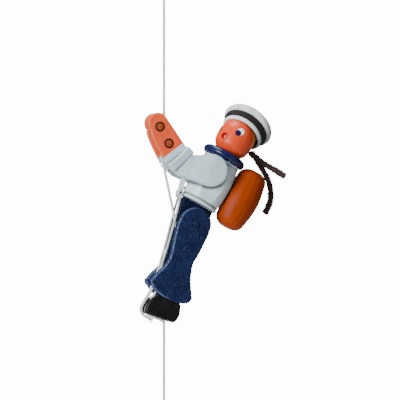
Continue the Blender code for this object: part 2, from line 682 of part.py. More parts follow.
def make_pelvis(paints, body):
    outline = [(PELVIS_BACK, -GAP), (-PELVIS_FRONT, -GAP), (-0.965 * PELVIS_FRONT, -0.5 * HIP_BELOW),
               (-0.85 * PELVIS_FRONT, -0.9 * HIP_BELOW)]
    outline += arc(HIP_BEHIND, -HIP_BELOW, PELVIS_ROUND, 199.0, 360.0, 17)
    half = PELVIS_THICKNESS / 2
    pelvis = board("pelvis", outline, -half, half, paints["navy"], body, bevel=PELVIS_EDGE)
    bore(pelvis, 3 * PELVIS_THICKNESS, HIP_DOWEL_RADIUS + HIP_CLEARANCE, body, (HIP_BEHIND, 0.0, -HIP_BELOW))
    bore(pelvis, 2 * (WAIST_DOWEL_DEPTH + 2 * GAP), WAIST_DOWEL_RADIUS + GAP, body, (0.0, 0.0, -GAP), "Z")
    return pelvis


def make_collar(paints, body):
    collar = torus("collar_ring", COLLAR_RADIUS, COLLAR_TUBE, paints["navy_gloss"], body, SEGMENTS, 12)
    collar.location.z = TORSO_LENGTH + COLLAR_TUBE + GAP
    return collar


def make_backpack(paints, body):
    """A turned barrel with well rounded ends and a flat planed on the side towards the back."""
    pack = frame("pack_frame", PACK_BEHIND, PACK_HEIGHT, 0.0, body)
    half = PACK_LENGTH / 2
    profile = [(0.0, -half)]
    profile += [(PACK_END_RADIUS - PACK_ROUNDING + PACK_ROUNDING * sin(radians(a)),
                 -half + PACK_ROUNDING * (1 - cos(radians(a)))) for a in (0, 18, 36, 54, 72)]
    steps = 8
    straight = half - PACK_ROUNDING
    profile += [(PACK_END_RADIUS + (PACK_RADIUS - PACK_END_RADIUS) * cos(pi / 2 * (2 * k / steps - 1)),
                 -straight + 2 * straight * k / steps) for k in range(steps + 1)]
    profile += [(r, -h) for r, h in reversed(profile[:6])]
    piece = turned("backpack", profile, paints["stain"], pack, 32)
    flat = TORSO_MID_RADIUS + GAP - PACK_BEHIND
    block_cut(piece, (-3 * PACK_RADIUS, -3 * PACK_RADIUS, -PACK_LENGTH), (flat, 3 * PACK_RADIUS, PACK_LENGTH), pack)
    for z, name in zip(pack_dowel_heights(), ("lower_pack_dowel", "upper_pack_dowel")):
        bore(piece, 2 * (PACK_DOWEL_DEPTH + GAP), PACK_DOWEL_RADIUS + GAP, pack, (flat, 0.0, z - PACK_HEIGHT), "X", 16)
        middle = TORSO_MID_RADIUS
        dowel = rod(name, 2 * PACK_DOWEL_DEPTH, PACK_DOWEL_RADIUS, paints["beech"], body, 0.0, 16)
        dowel.data.transform(Matrix.Rotation(radians(90.0), 4, "Z"))
        dowel.location = (middle + GAP / 2, 0.0, z)


def make_chest_block(paints, body):
    """A small block that stands off the chest on a peg, with a nail across it for the elastic."""
    block = frame("block_frame", -BLOCK_AHEAD, 0.0, BLOCK_LEAN, body)
    half = BLOCK_DEPTH / 2
    outline = arc(0.0, BLOCK_LENGTH - half, half, 0.0, 180.0, 9) + [(-half, -BLOCK_FOOT), (half, -BLOCK_FOOT)]
    width = BLOCK_WIDTH / 2
    piece = board("chest_block", outline, -width, width, paints["white"], block, bevel=BLOCK_EDGE)
    bore(piece, 4 * BLOCK_WIDTH, NAIL_RADIUS + GAP, block, (-NAIL_AHEAD, 0.0, NAIL_HEIGHT), "Y", 10)
    start = BLOCK_AHEAD + BLOCK_PEG_HEIGHT * sin(radians(-BLOCK_LEAN)) - half - GAP
    end = TORSO_MID_RADIUS - BLOCK_PEG_LENGTH + GAP
    peg = rod("block_peg", start - end + BLOCK_PEG_IN_BLOCK, BLOCK_PEG_RADIUS, paints["beech"], body, 0.0, 12)
    peg.data.transform(Matrix.Rotation(radians(90.0), 4, "Z"))
    peg.location = (-(start + end + BLOCK_PEG_IN_BLOCK) / 2, 0.0, BLOCK_PEG_HEIGHT)
    bore(piece, 2 * (half + BLOCK_PEG_HOLE), BLOCK_PEG_RADIUS + GAP, body,
         (-(start), 0.0, BLOCK_PEG_HEIGHT), "X", 12)
    nail = rod("elastic_nail", 2 * NAIL_HALF_LENGTH, NAIL_RADIUS, paints["steel"], block, 0.0, 10)
    nail.location = (-NAIL_AHEAD, 0.0, NAIL_HEIGHT)


def make_elastic(paints):
    near = [(x * MM, -y * MM, z * MM) for x, y, z in ELASTIC_ROUTE]
    far = [(x, -y, z) for x, y, z in reversed(near)]
    toe_x, _, toe_z = near[-1]
    under = [(toe_x + ELASTIC_TURN_BACK, 0.0, toe_z - ELASTIC_TURN_BELOW)]
    loop = near + under + far
    tube("elastic_loop", loop, ELASTIC_RADIUS, paints["elastic"], 5.0 * ELASTIC_RADIUS)


def leg_outline():
    """A bell-bottomed trouser leg: round at the hip, drawn in at the knee, wide at the hem."""
    top = arc(-0.6 * MM, 0.0, THIGH_TOP, 10.0, 165.0, 14)
    front = smooth_path([
        (-THIGH_FRONT, -5.0 * MM), (-THIGH_FRONT + 0.9 * MM, -0.56 * KNEE_BELOW), (-KNEE_FRONT, -KNEE_BELOW),
        (-KNEE_FRONT - 1.7 * MM, -KNEE_BELOW - 9.6 * MM), (-HEM_FRONT + 3.4 * MM, -HEM_BELOW + 7.8 * MM),
        (-HEM_FRONT, -HEM_BELOW),
    ], 3)
    hem = smooth_path([
        (-HEM_FRONT + 1.6 * MM, -HEM_BELOW - 2.8 * MM), (-HEM_FRONT + 9.4 * MM, -HEM_BELOW - 0.75 * HEM_SAG),
        (-3.0 * MM, -HEM_BELOW - HEM_SAG + 0.5 * MM), (7.3 * MM, -HEM_BELOW - HEM_SAG),
        (HEM_BACK - 2.2 * MM, -HEM_BELOW - 0.74 * HEM_SAG), (HEM_BACK, -HEM_BELOW - 3.6 * MM),
    ], 3)
    back = smooth_path([
        (HEM_BACK - 1.6 * MM, -HEM_BELOW), (KNEE_BACK + 2.3 * MM, -KNEE_BELOW - 14.8 * MM),
        (KNEE_BACK, -KNEE_BELOW - 2.0 * MM), (KNEE_BACK + 1.9 * MM, -KNEE_BELOW + 6.8 * MM),
        (THIGH_BACK - 1.0 * MM, -11.8 * MM), (THIGH_BACK, -4.0 * MM),
    ], 3)
    return [(p.x, p.y) if isinstance(p, Vector) else p for p in top + front + hem + back]


def shoe_outline():
    """Toe to the front, a flat sole square to the leg, a tongue up into the trouser leg."""
    body = rounded([
        (-0.914 * TOE_FRONT, -SOLE_BELOW + 0.893 * SHOE_HEIGHT), (-1.031 * TOE_FRONT, -SOLE_BELOW + 0.252 * SHOE_HEIGHT),
        (-0.938 * TOE_FRONT, -SOLE_BELOW), (0.858 * HEEL_BACK, -SOLE_BELOW - 0.019 * SHOE_HEIGHT),
        (1.057 * HEEL_BACK, -SOLE_BELOW + 0.503 * SHOE_HEIGHT), (0.849 * HEEL_BACK, -SOLE_BELOW + SHOE_HEIGHT),
    ], [r * SHOE_HEIGHT for r in (0.0, 0.19, 0.1, 0.214, 0.19, 0.0)], 4)
    return body


def make_legs(paints, body):
    hip = frame("hip_frame", HIP_BEHIND, -HIP_BELOW, LEG_LEAN - BODY_LEAN, body)
    inner = PELVIS_THICKNESS / 2 + GAP
    outer = inner + LEG_THICKNESS
    for side, name in ((-1, "left_leg"), (1, "right_leg")):
        near, far = sorted((side * inner, side * outer))
        leg = board(name, leg_outline(), near, far, paints["navy"], hip, bevel=LEG_EDGE)
        bore(leg, 4 * LEG_THICKNESS, HIP_DOWEL_RADIUS + GAP, hip, (0.0, side * outer, 0.0))
        bore(leg, 2 * (GUIDE_DEPTH + GAP), GUIDE_RADIUS + GAP, hip, (-GUIDE_AHEAD, side * inner, -GUIDE_BELOW))
    rod("hip_dowel", 2 * outer, HIP_DOWEL_RADIUS, paints["beech"], hip, HIP_DOWEL_CHAMFER)
    guide = rod("guide_dowel", 2 * (inner + GUIDE_DEPTH), GUIDE_RADIUS, paints["beech"], hip)
    guide.location = (-GUIDE_AHEAD, 0.0, -GUIDE_BELOW)
    return hip, inner, outer


def make_shoes(paints, hip, inner):
    slot = SHOE_SLOT / 2
    for side, name in ((-1, "left_shoe"), (1, "right_shoe")):
        near, far = sorted((side * slot, side * SHOE_HALF_WIDTH))
        shoe = board(name, shoe_outline(), near, far, paints["black"], hip)
        tongue_out = inner - 2 * GAP
        low, high = sorted((side * slot, side * tongue_out))
        tongue_foot = -SOLE_BELOW + TONGUE_ABOVE
        tongue_outline = [(-TONGUE_FRONT, tongue_foot), (TONGUE_BACK, tongue_foot),
                          (TONGUE_TIP_BACK, -TONGUE_TOP_BELOW), (-TONGUE_TIP_FRONT, -TONGUE_TOP_BELOW)]
        tongue = board(name + "_tongue", tongue_outline, low, high, None, hip, bevel=0.0)
        tongue.hide_render = True
        tongue.display_type = "WIRE"
        hem = board(name + "_hem", leg_outline(), *sorted((side * (inner - GAP), side * 2 * SHOE_HALF_WIDTH)),
                    None, hip, bevel=0.0)
        for vert in hem.data.vertices:
            vert.co.z -= GAP if vert.co.z < -HEM_BELOW else 0.0
        cutter(shoe, hem)
        joined = shoe.modifiers.new("tongue", "BOOLEAN")
        joined.operation = "UNION"
        joined.solver = "EXACT"
        joined.object = tongue
        bore(shoe, 2 * STAPLE_DEPTH, STAPLE_RADIUS + GAP, hip, (-STAPLE_AHEAD, side * staple_half(), -SOLE_BELOW),
             "Z", 10)


def staple_half():
    return SHOE_HALF_WIDTH / 2 + STAPLE_SPREAD


def make_staple(paints, hip):
    """A wire staple under the toes, whose crown holds the end of the elastic."""
    bpy.context.view_layer.update()
    half = staple_half()
    top = -SOLE_BELOW + STAPLE_DEPTH - GAP
    crown = -SOLE_BELOW - STAPLE_DROP
    corner = STAPLE_CORNER
    points = [(-STAPLE_AHEAD, -half, top), (-STAPLE_AHEAD, -half, (top + crown) / 2),
              (-STAPLE_AHEAD, -half, crown + corner), (-STAPLE_AHEAD, -half + corner, crown),
              (-STAPLE_AHEAD, 0.0, crown), (-STAPLE_AHEAD, half - corner, crown),
              (-STAPLE_AHEAD, half, crown + corner), (-STAPLE_AHEAD, half, (top + crown) / 2),
              (-STAPLE_AHEAD, half, top)]
    tube("toe_staple", [hip.matrix_world @ Vector(p) for p in points], STAPLE_RADIUS, paints["steel"], 1.2 * MM)


def make_head(paints, neck):
    head = frame("head_frame", 0.0, 0.0, 0.0, neck)
    head.rotation_euler = (0.0, 0.0, radians(HEAD_TURN))
    centre, foot = HEAD_CENTRE_HEIGHT, HEAD_FOOT
    profile = [(0.0, foot)] + [(r * HEAD_RADIUS, h * centre) for r, h in HEAD_JAW]
    steps = 8
    profile += [(HEAD_RADIUS * cos(pi / 2 * k / steps), centre + HEAD_RADIUS * sin(pi / 2 * k / steps))
                for k in range(steps)]
    profile.append((0.0, centre + HEAD_RADIUS))
    piece = turned("head", profile, paints["face"], head)
    bore(piece, 2 * (NECK_IN_HEAD + GAP), NECK_RADIUS + HIP_CLEARANCE, head, (0.0, 0.0, foot), "Z")
    dimple = turned("dimple_guide", [
        (0.0, -DIMPLE_DEPTH), (DIMPLE_RADIUS * 0.7, -DIMPLE_DEPTH * 0.7), (DIMPLE_RADIUS, 0.0),
        (DIMPLE_RADIUS, 2 * DIMPLE_RADIUS), (0.0, 2 * DIMPLE_RADIUS)], None, head, 16)
    dimple.location = (-HEAD_RADIUS + DIMPLE_DEPTH / 4, 0.0, centre - DIMPLE_BELOW)
    dimple.rotation_euler = (0.0, radians(-90.0), 0.0)
    cutter(piece, dimple)
    low = -COLLAR_TUBE - NECK_IN_TORSO
    high = foot + NECK_IN_HEAD
    neck_rod = rod("neck_dowel", high - low, NECK_RADIUS, paints["beech"], neck)
    neck_rod.data.transform(Matrix.Rotation(radians(90.0), 4, "X"))
    neck_rod.location.z = (low + high) / 2
    return head, piece


def make_cap(paints, head, head_piece):
    """A sailor's cap pushed to the back of the head: white lip, felt band, puffy crown."""
    centre = frame("head_centre", 0.0, HEAD_CENTRE_HEIGHT, CAP_BACK_TILT, head)
    side = frame("cap_tilt", 0.0, 0.0, 0.0, centre)
    side.rotation_euler = (radians(-CAP_SIDE_TILT), 0.0, 0.0)
    cap = frame("cap_frame", CAP_BACK, CAP_SEAT, 0.0, side, -CAP_ASIDE)
    crown_foot = LIP_HEIGHT + GAP + BAND_HEIGHT + GAP
    band_seat = LIP_RADIUS - 0.2 * MM
    lip_top = LIP_RADIUS + LIP_FLARE
    lip = [(LIP_INNER_RADIUS, 0.0), (LIP_RADIUS, 0.0), (lip_top, LIP_HEIGHT - LIP_EDGE), (lip_top - LIP_EDGE / 2, LIP_HEIGHT),
           (band_seat, LIP_HEIGHT), (band_seat, crown_foot - GAP), (LIP_INNER_RADIUS, crown_foot - GAP),
           (LIP_INNER_RADIUS, 0.0)]
    turned("cap_lip", lip, paints["cap"], cap)
    inner = band_seat + GAP
    low, high = LIP_HEIGHT + GAP, LIP_HEIGHT + GAP + BAND_HEIGHT
    outer = inner + BAND_THICKNESS
    band = [(inner, low), (outer, low), (outer + BAND_FLARE * 0.6, (low + high) / 2), (outer + BAND_FLARE, high),
            (inner, high), (inner, low)]
    turned("cap_band", band, paints["felt"], cap)
    foot = crown_foot
    rise = CROWN_HEIGHT
    waist = outer + BAND_FLARE
    crown = [(0.0, foot), (waist - LIP_FLARE, foot), (waist, foot + 0.045 * rise)]
    crown += [(r * CROWN_RADIUS, foot + h * rise) for r, h in CROWN_SIDE]
    turned("cap_crown", crown, paints["cap"], cap)
    block_cut(head_piece, (-2 * HEAD_RADIUS, -2 * HEAD_RADIUS, crown_foot - GAP),
              (2 * HEAD_RADIUS, 2 * HEAD_RADIUS, 3 * HEAD_RADIUS), cap)


def make_ribbons(paints):
    for name, route in (("left_ribbon", LEFT_RIBBON), ("right_ribbon", RIGHT_RIBBON)):
        tube(name, [Vector(p) * MM for p in route], RIBBON_RADIUS, paints["felt"], 4.0 * RIBBON_RADIUS)


def main():
    clear_scene()
    paints = make_paints()
    make_cord_line(paints)
    grip = make_grip(paints)
    cuffs = make_cuffs(paints, grip)
    bpy.context.view_layer.update()
    cuff_place = cuffs.matrix_world.translation
    drop = radians(ARM_DROP)
    shoulder = frame("shoulder_frame", cuff_place.x + ARM_REACH * cos(drop),
                     cuff_place.z - ARM_REACH * sin(drop), ARM_DROP)
    lean = radians(BODY_LEAN)
    waist_x = shoulder.location.x + SHOULDER_AHEAD * cos(lean) - SHOULDER_HEIGHT * sin(lean)
    waist_z = shoulder.location.z - SHOULDER_AHEAD * sin(lean) - SHOULDER_HEIGHT * cos(lean)
    body = frame("body_frame", waist_x, waist_z, BODY_LEAN)
    make_upper_arms(paints, cuffs, shoulder)
    neck = frame("neck_frame", 0.0, TORSO_LENGTH + COLLAR_TUBE + GAP, HEAD_NOD, body)
    make_torso(paints, body, shoulder, neck)
    make_waist_dowel(paints, body)
    make_pelvis(paints, body)
    make_collar(paints, body)
    make_backpack(paints, body)
    make_chest_block(paints, body)
    hip, inner, outer = make_legs(paints, body)
    make_shoes(paints, hip, inner)
    make_staple(paints, hip)
    make_elastic(paints)
    head, head_piece = make_head(paints, neck)
    make_cap(paints, head, head_piece)
    make_ribbons(paints)


main()
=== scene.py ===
from math import asin, atan2, cos, pi, radians, sin, sqrt

import bmesh
import bpy
from mathutils import Matrix, Vector


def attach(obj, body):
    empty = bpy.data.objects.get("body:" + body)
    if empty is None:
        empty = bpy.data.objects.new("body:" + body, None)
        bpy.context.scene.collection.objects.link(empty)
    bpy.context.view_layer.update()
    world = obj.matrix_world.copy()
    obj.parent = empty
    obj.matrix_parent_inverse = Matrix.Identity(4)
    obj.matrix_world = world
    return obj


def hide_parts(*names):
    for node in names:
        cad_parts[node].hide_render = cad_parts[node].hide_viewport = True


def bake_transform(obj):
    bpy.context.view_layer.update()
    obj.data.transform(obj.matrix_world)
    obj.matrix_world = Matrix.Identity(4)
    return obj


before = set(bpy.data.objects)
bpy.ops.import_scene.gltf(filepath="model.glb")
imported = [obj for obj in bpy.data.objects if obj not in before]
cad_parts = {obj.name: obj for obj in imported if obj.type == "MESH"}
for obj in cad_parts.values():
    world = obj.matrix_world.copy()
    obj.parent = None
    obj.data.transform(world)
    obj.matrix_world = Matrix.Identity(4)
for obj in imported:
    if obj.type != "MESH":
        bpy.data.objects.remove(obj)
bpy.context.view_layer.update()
mm = 0.001
bothSides = ((-1, "left"), (1, "right"))
print("frame loaded")


# View and light
view = {
    "turn": -15.0,  # degrees that the camera goes round the toy
    "rise": 0.0,  # degrees that it looks down on it
    "middle": (29.0 * mm, -7.8 * mm, -186.7 * mm),  # what the middle of the picture looks at
    "width": 333.3 * mm,  # what the picture takes in there
    "distance": 2.3, "sensor": 36.0,
    "studio": 0.1,  # how bright the white studio round the toy is
    "paper": 14.0,  # how brightly the paper behind the toy is lit
    "paperBehind": 3.2, "paperHalf": 0.62, "floor": -0.95, "floorHalf": 4.0,
    "lit": (0.03, 0.0, -0.19),  # what the soft boxes point at; each has a place, a size and a power
    "boxes": {
        "keyBox": ((-1.1, -0.88, 0.06), (0.6, 0.6), 32.5),
        "fillBox": ((1.0, -1.1, -0.1), (0.8, 0.8), 1.8),
        "topBox": ((-0.1, 0.0, 0.8), (0.7, 0.5), 15.0),
    },
}


def shown(name, data):  # an object of this data, in the scene
    made = bpy.data.objects.new(name, data)
    bpy.context.scene.collection.objects.link(made)
    return made


def makeView(v):
    turn, rise = radians(v["turn"]), radians(v["rise"])
    back = Vector((sin(turn) * cos(rise), -cos(turn) * cos(rise), sin(rise)))
    camera = shown("camera", bpy.data.cameras.new("camera"))
    camera.location = Vector(v["middle"]) + back * v["distance"]
    camera.rotation_euler = (radians(90.0) - rise, 0.0, turn)
    camera.data.sensor_width = v["sensor"]
    camera.data.lens = v["sensor"] * v["distance"] / v["width"]
    camera.data.clip_start = 0.01
    bpy.context.scene.camera = camera
    world = bpy.data.worlds.new("studio")
    bpy.context.scene.world = world
    world.use_nodes = True
    sky = world.node_tree.nodes["Background"]
    sky.inputs["Color"].default_value = (1.0, 1.0, 1.0, 1.0)
    sky.inputs["Strength"].default_value = v["studio"]


def makeBoxes(v):
    for name, (place, size, power) in v["boxes"].items():
        lamp = bpy.data.lights.new(name, "AREA")
        lamp.shape = "RECTANGLE"
        lamp.size, lamp.size_y = size
        lamp.energy = power
        box = shown(name, lamp)
        box.location = place
        box.rotation_euler = (Vector(place) - Vector(v["lit"])).to_track_quat("Z", "Y").to_euler()


def sheet(name, paperName, middle, across, up, half, **look):  # a square of paper that is part of the stage
    mesh = bpy.data.meshes.new(name)
    corners = [middle + across * x * half + up * z * half for x, z in ((-1, -1), (1, -1), (1, 1), (-1, 1))]
    mesh.from_pydata(corners, [], [(0, 1, 2, 3)])
    paper = bpy.data.materials.new(paperName)
    paper.use_nodes = True
    for slot, value in look.items():
        paper.node_tree.nodes["Principled BSDF"].inputs[slot.replace("_", " ")].default_value = value
    mesh.materials.append(paper)
    shown(name, mesh)


def makePaper(v):  # a pale floor, and lit white paper well behind the toy, just larger than the picture
    turn = radians(v["turn"])
    away, across = Vector((-sin(turn), cos(turn), 0.0)), Vector((cos(turn), sin(turn), 0.0))
    x, y, z = Matrix.Identity(3)
    sheet("floor", "palePaper", z * v["floor"], x, y, v["floorHalf"], Base_Color=(0.86, 0.86, 0.85, 1.0),
          Roughness=0.9)
    sheet("backdrop", "litPaper", Vector(v["middle"]) + away * v["paperBehind"], across, z, v["paperHalf"],
          Base_Color=(0.0, 0.0, 0.0, 1.0), Emission_Color=(1.0, 1.0, 1.0, 1.0), Emission_Strength=v["paper"])


makeView(view)
makeBoxes(view)
makePaper(view)
print("camera and light set")


# The toy's frames, as the part has them
pose = {
    "grip": (-1.85, -132.8), "handLean": -36.2, "cuffLean": -42.2, "cuff": (-1.05, -23.8),
    "armReach": 26.3, "armDrop": 21.2, "bodyLean": 29.5, "shoulder": (-8.3, 28.05),
    "collar": 45.9, "nod": 4.0, "headTurn": 36.0, "headCentre": 20.0,
    "capBack": 23.2, "capSide": 14.0, "capSeat": (1.1, -0.6, 5.3),
    "hip": (3.8, -16.3), "legLean": 18.6, "pack": (30.3, 22.0), "blockLean": -16.0, "blockAhead": 18.2,
}


def shift(x, y, z):
    return Matrix.Translation((x * mm, y * mm, z * mm))


def spin(angle, axis):
    return Matrix.Rotation(radians(angle), 4, axis)


def leaning(x, z, lean, parent=Matrix.Identity(4)):
    return parent @ (shift(x, 0.0, z) @ spin(lean, "Y"))


def makeFrames(p):
    f = {"world": Matrix.Identity(4), "grip": leaning(*p["grip"], p["handLean"])}
    f["cuff"] = leaning(*p["cuff"], p["cuffLean"] - p["handLean"], f["grip"])
    elbow = f["cuff"].translation / mm
    drop, lean = radians(p["armDrop"]), radians(p["bodyLean"])
    x, z = elbow.x + p["armReach"] * cos(drop), elbow.z - p["armReach"] * sin(drop)
    f["shoulder"] = leaning(x, z, p["armDrop"])
    ahead, up = p["shoulder"]
    f["body"] = leaning(x - ahead * cos(lean) - up * sin(lean), z + ahead * sin(lean) - up * cos(lean),
                        p["bodyLean"])
    f["collar"] = leaning(0.0, p["collar"], 0.0, f["body"])
    f["head"] = leaning(0.0, p["collar"], p["nod"], f["body"]) @ spin(p["headTurn"], "Z")
    f["skull"] = leaning(0.0, p["headCentre"], 0.0, f["head"])
    f["cap"] = f["skull"] @ spin(p["capBack"], "Y") @ spin(-p["capSide"], "X") @ shift(*p["capSeat"])
    f["hip"] = leaning(*p["hip"], p["legLean"] - p["bodyLean"], f["body"])
    f["pack"] = leaning(*p["pack"], 0.0, f["body"])
    f["block"] = leaning(-p["blockAhead"], 0.0, p["blockLean"], f["body"])
    return f


at = makeFrames(pose)


# Paint box: shader maths as Python expressions
def feed(tree, slot, value):
    value = value.socket if isinstance(value, Term) else value
    if isinstance(value, bpy.types.NodeSocket):
        tree.links.new(value, slot)
    elif slot.type == "RGBA":
        slot.default_value = (*value, 1.0)
    else:
        slot.default_value = value


def addNode(tree, kind, settings=None, **values):  # the value _0 goes to input 0, From_Min to From Min
    node = tree.nodes.new(kind)
    for key, value in (settings or {}).items():
        setattr(node, key, value)
    for key, value in values.items():
        feed(tree, node.inputs[int(key[1:]) if key[1:].isdigit() else key.replace("_", " ")], value)
    return node


class Term:
    def __init__(self, tree, socket):
        self.tree = tree
        self.socket = socket

    def join(self, operation, *values):
        node = addNode(self.tree, "ShaderNodeMath", {"operation": operation})
        for slot, value in zip(node.inputs, values):
            feed(self.tree, slot, value)
        return Term(self.tree, node.outputs[0])

    def __add__(self, other):
        return self.join("ADD", self, other)

    def __sub__(self, other):
        return self.join("SUBTRACT", self, other)

    def __rsub__(self, other):
        return self.join("SUBTRACT", other, self)

    def __mul__(self, other):
        return self.join("MULTIPLY", self, other)

    def __pow__(self, other):
        return self.join("POWER", self, other)

    __radd__ = __add__
    __rmul__ = __mul__

    def most(self, other):
        return self.join("MAXIMUM", self, other)

    def wave(self):  # from 0 to 1 and back with every turn
        return self.join("SINE", self) * 0.5 + 0.5

    def ramp(self, low, high):  # 0 below low, 1 above high, smooth between
        node = addNode(self.tree, "ShaderNodeMapRange", {"interpolation_type": "SMOOTHSTEP"}, Value=self,
                       From_Min=low, From_Max=high)
        return Term(self.tree, node.outputs["Result"])


class Finish:
    def __init__(self, name, slotName):
        self.material = bpy.data.materials.new(name)
        self.material.use_nodes = True
        self.slotName = slotName
        self.tree = self.material.node_tree
        self.place = self.node("ShaderNodeTexCoord").outputs["Object"]

    def node(self, kind, settings=None, **values):
        return addNode(self.tree, kind, settings, **values)

    def local(self, matrix, stretch=(1.0, 1.0, 1.0)):  # millimetres in a piece's own frame, stretched
        back = matrix.inverted()
        turned = self.node("ShaderNodeMapping", Vector=self.place, Location=tuple(back.translation),
                           Rotation=tuple(back.to_euler()))
        return self.node("ShaderNodeVectorMath", {"operation": "MULTIPLY"}, _0=turned.outputs[0],
                         _1=tuple(1000.0 * s for s in stretch)).outputs[0]

    def parts(self, vector):
        return [Term(self.tree, out) for out in self.node("ShaderNodeSeparateXYZ", Vector=vector).outputs]

    def xyz(self, matrix):
        return self.parts(self.local(matrix))

    def noise(self, vector, scale, detail=3.0, roughness=0.5, distortion=0.0):
        made = self.node("ShaderNodeTexNoise", Vector=vector, Scale=scale, Detail=detail, Roughness=roughness,
                         Distortion=distortion)
        return Term(self.tree, made.outputs[0])

    def attribute(self, name):
        return Term(self.tree, self.node("ShaderNodeAttribute", {"attribute_name": name}).outputs["Fac"])

    def mix(self, share, first, second):
        return self.node("ShaderNodeMix", {"data_type": "RGBA"}, _0=share, _6=first, _7=second).outputs[2]

    def spot(self, ground, point, inner, outer, colour):  # a round spot; its radii are in millimetres
        away = self.node("ShaderNodeVectorMath", {"operation": "DISTANCE"}, _0=self.place, _1=tuple(point))
        away = Term(self.tree, away.outputs["Value"]) * 1000.0
        return self.mix(1.0 - away.ramp(inner, outer), ground, colour)

    def lay(self, colour, roughness, height, depth, coat=0.0, coatRoughness=0.1, metallic=0.0, specular=0.4):
        # the bump's height goes from 0 to 1, its depth is in millimetres
        bump = self.node("ShaderNodeBump", Height=height, Distance=depth * mm)
        for name, value in (("Base Color", colour), ("Roughness", roughness), ("Metallic", metallic),
                            ("Specular IOR Level", specular), ("Coat Weight", coat),
                            ("Coat Roughness", coatRoughness), ("Normal", bump.outputs["Normal"])):
            feed(self.tree, self.tree.nodes["Principled BSDF"].inputs[name], value)
        return self


def ink(r, g, b):  # a colour as the screen shows it, 0 to 255
    return tuple((c / 255.0 / 12.92) if c < 10 else ((c / 255.0 + 0.055) / 1.055) ** 2.4 for c in (r, g, b))


# Makers of shapes
def asPiece(name, bm, finish, sharp=40.0, matrix=Matrix.Identity(4), smooth=True):
    bmesh.ops.transform(bm, matrix=matrix, verts=bm.verts)
    bmesh.ops.recalc_face_normals(bm, faces=bm.faces)
    mesh = bpy.data.meshes.new(name)
    bm.to_mesh(mesh)
    bm.free()
    if smooth:
        mesh.shade_smooth()
        mesh.set_sharp_from_angle(angle=radians(sharp))
    piece = shown(name, mesh)
    if finish:
        mesh.materials.append(finish.material)
    return piece


def turned(name, profile, matrix, finish, sides=96, sharp=40.0, reshape=None):
    # profile is (radius, height) in mm, from bottom to top; the same first and last point makes a ring
    bm = bmesh.new()
    closed = profile[0] == profile[-1]
    rows = []
    for radius, height in (profile[:-1] if closed else profile):
        angles = [2 * pi * k / sides for k in range(sides if radius else 1)]
        rows.append([bm.verts.new((radius * mm * cos(a), radius * mm * sin(a), height * mm)) for a in angles])
    for low, high in list(zip(rows, rows[1:])) + ([(rows[-1], rows[0])] if closed else []):
        for k in range(sides):
            ring = [row[n % len(row)] for row, n in ((low, k), (low, k + 1), (high, k + 1), (high, k))]
            ring = list(dict.fromkeys(ring))
            if len(ring) > 2:
                bm.faces.new(ring)
    for row in (rows[0], rows[-1]):
        if not closed and len(row) > 1:
            bm.faces.new(row)
    if reshape:
        for vert in bm.verts:
            reshape(vert.co)
    return asPiece(name, bm, finish, sharp, matrix)


def hoop(major, minor, steps):  # the profile of a round ring
    ring = [(major + minor * cos(2 * pi * k / steps), minor * sin(2 * pi * k / steps)) for k in range(steps)]
    return ring + ring[:1]


def twoEnded(profile):  # the lower half of a profile, and its mirror image above
    return profile + [(radius, -height) for radius, height in reversed(profile)]


def curvePoints(points, steps):  # a smooth curve through the points
    points = [Vector(p) for p in points]
    ends = [points[0] * 2 - points[1]] + points + [points[-1] * 2 - points[-2]]
    path = []
    for a, b, c, d in zip(ends, ends[1:], ends[2:], ends[3:]):
        for step in range(steps):
            t = step / steps
            path.append((b * 2 + (c - a) * t + (a * 2 - b * 5 + c * 4 - d) * t ** 2
                         + (b * 3 - a - c * 3 + d) * t ** 3) / 2)
    return path + [points[-1]]


def runLength(path):
    return sum((b - a).length for a, b in zip(path, path[1:]))


def evenly(path, spacing):
    lengths = [0.0]
    for before, after in zip(path, path[1:]):
        lengths.append(lengths[-1] + (after - before).length)
    count = max(2, round(lengths[-1] / spacing) + 1)
    result, k = [], 0
    for n in range(count):
        goal = lengths[-1] * n / (count - 1)
        while k < len(lengths) - 2 and lengths[k + 1] < goal:
            k += 1
        t = (goal - lengths[k]) / (lengths[k + 1] - lengths[k])
        result.append(path[k].lerp(path[k + 1], min(1.0, t)))
    return result


def tube(name, path, radius, finish, sides=16, radiusAt=None):
    # path is in metres; the UV map runs along the tube in diameters and once round it
    bm = bmesh.new()
    uv = bm.loops.layers.uv.new("along")
    last = len(path) - 1
    side = Vector((0.0, 1.0, 0.0))
    rows, marks, walked = [], [], 0.0
    for k, point in enumerate(path):
        before, after = path[max(k - 1, 0)], path[min(k + 1, last)]
        ahead = (after - before).normalized()
        side = (side - ahead * side.dot(ahead)).normalized()
        up = ahead.cross(side)
        r = radius * (radiusAt(k / last) if radiusAt else 1.0)
        rows.append([bm.verts.new(point + (side * cos(2 * pi * j / sides) + up * sin(2 * pi * j / sides)) * r)
                     for j in range(sides)])
        walked += (point - before).length
        marks.append(walked / (2 * radius))
    for low, high, start, end in zip(rows, rows[1:], marks, marks[1:]):
        for j in range(sides):
            n = (j + 1) % sides
            face = bm.faces.new([low[j], low[n], high[n], high[j]])
            for loop, s, t in zip(face.loops, (start, start, end, end), (j, j + 1, j + 1, j)):
                loop[uv].uv = (s, t / sides)
    for k in (0, last):
        middle = bm.verts.new(path[k])
        for j in range(sides):
            for loop in bm.faces.new([rows[k][j], rows[k][(j + 1) % sides], middle]).loops:
                loop[uv].uv = (marks[k], 0.5)
    return asPiece(name, bm, finish, 60.0)


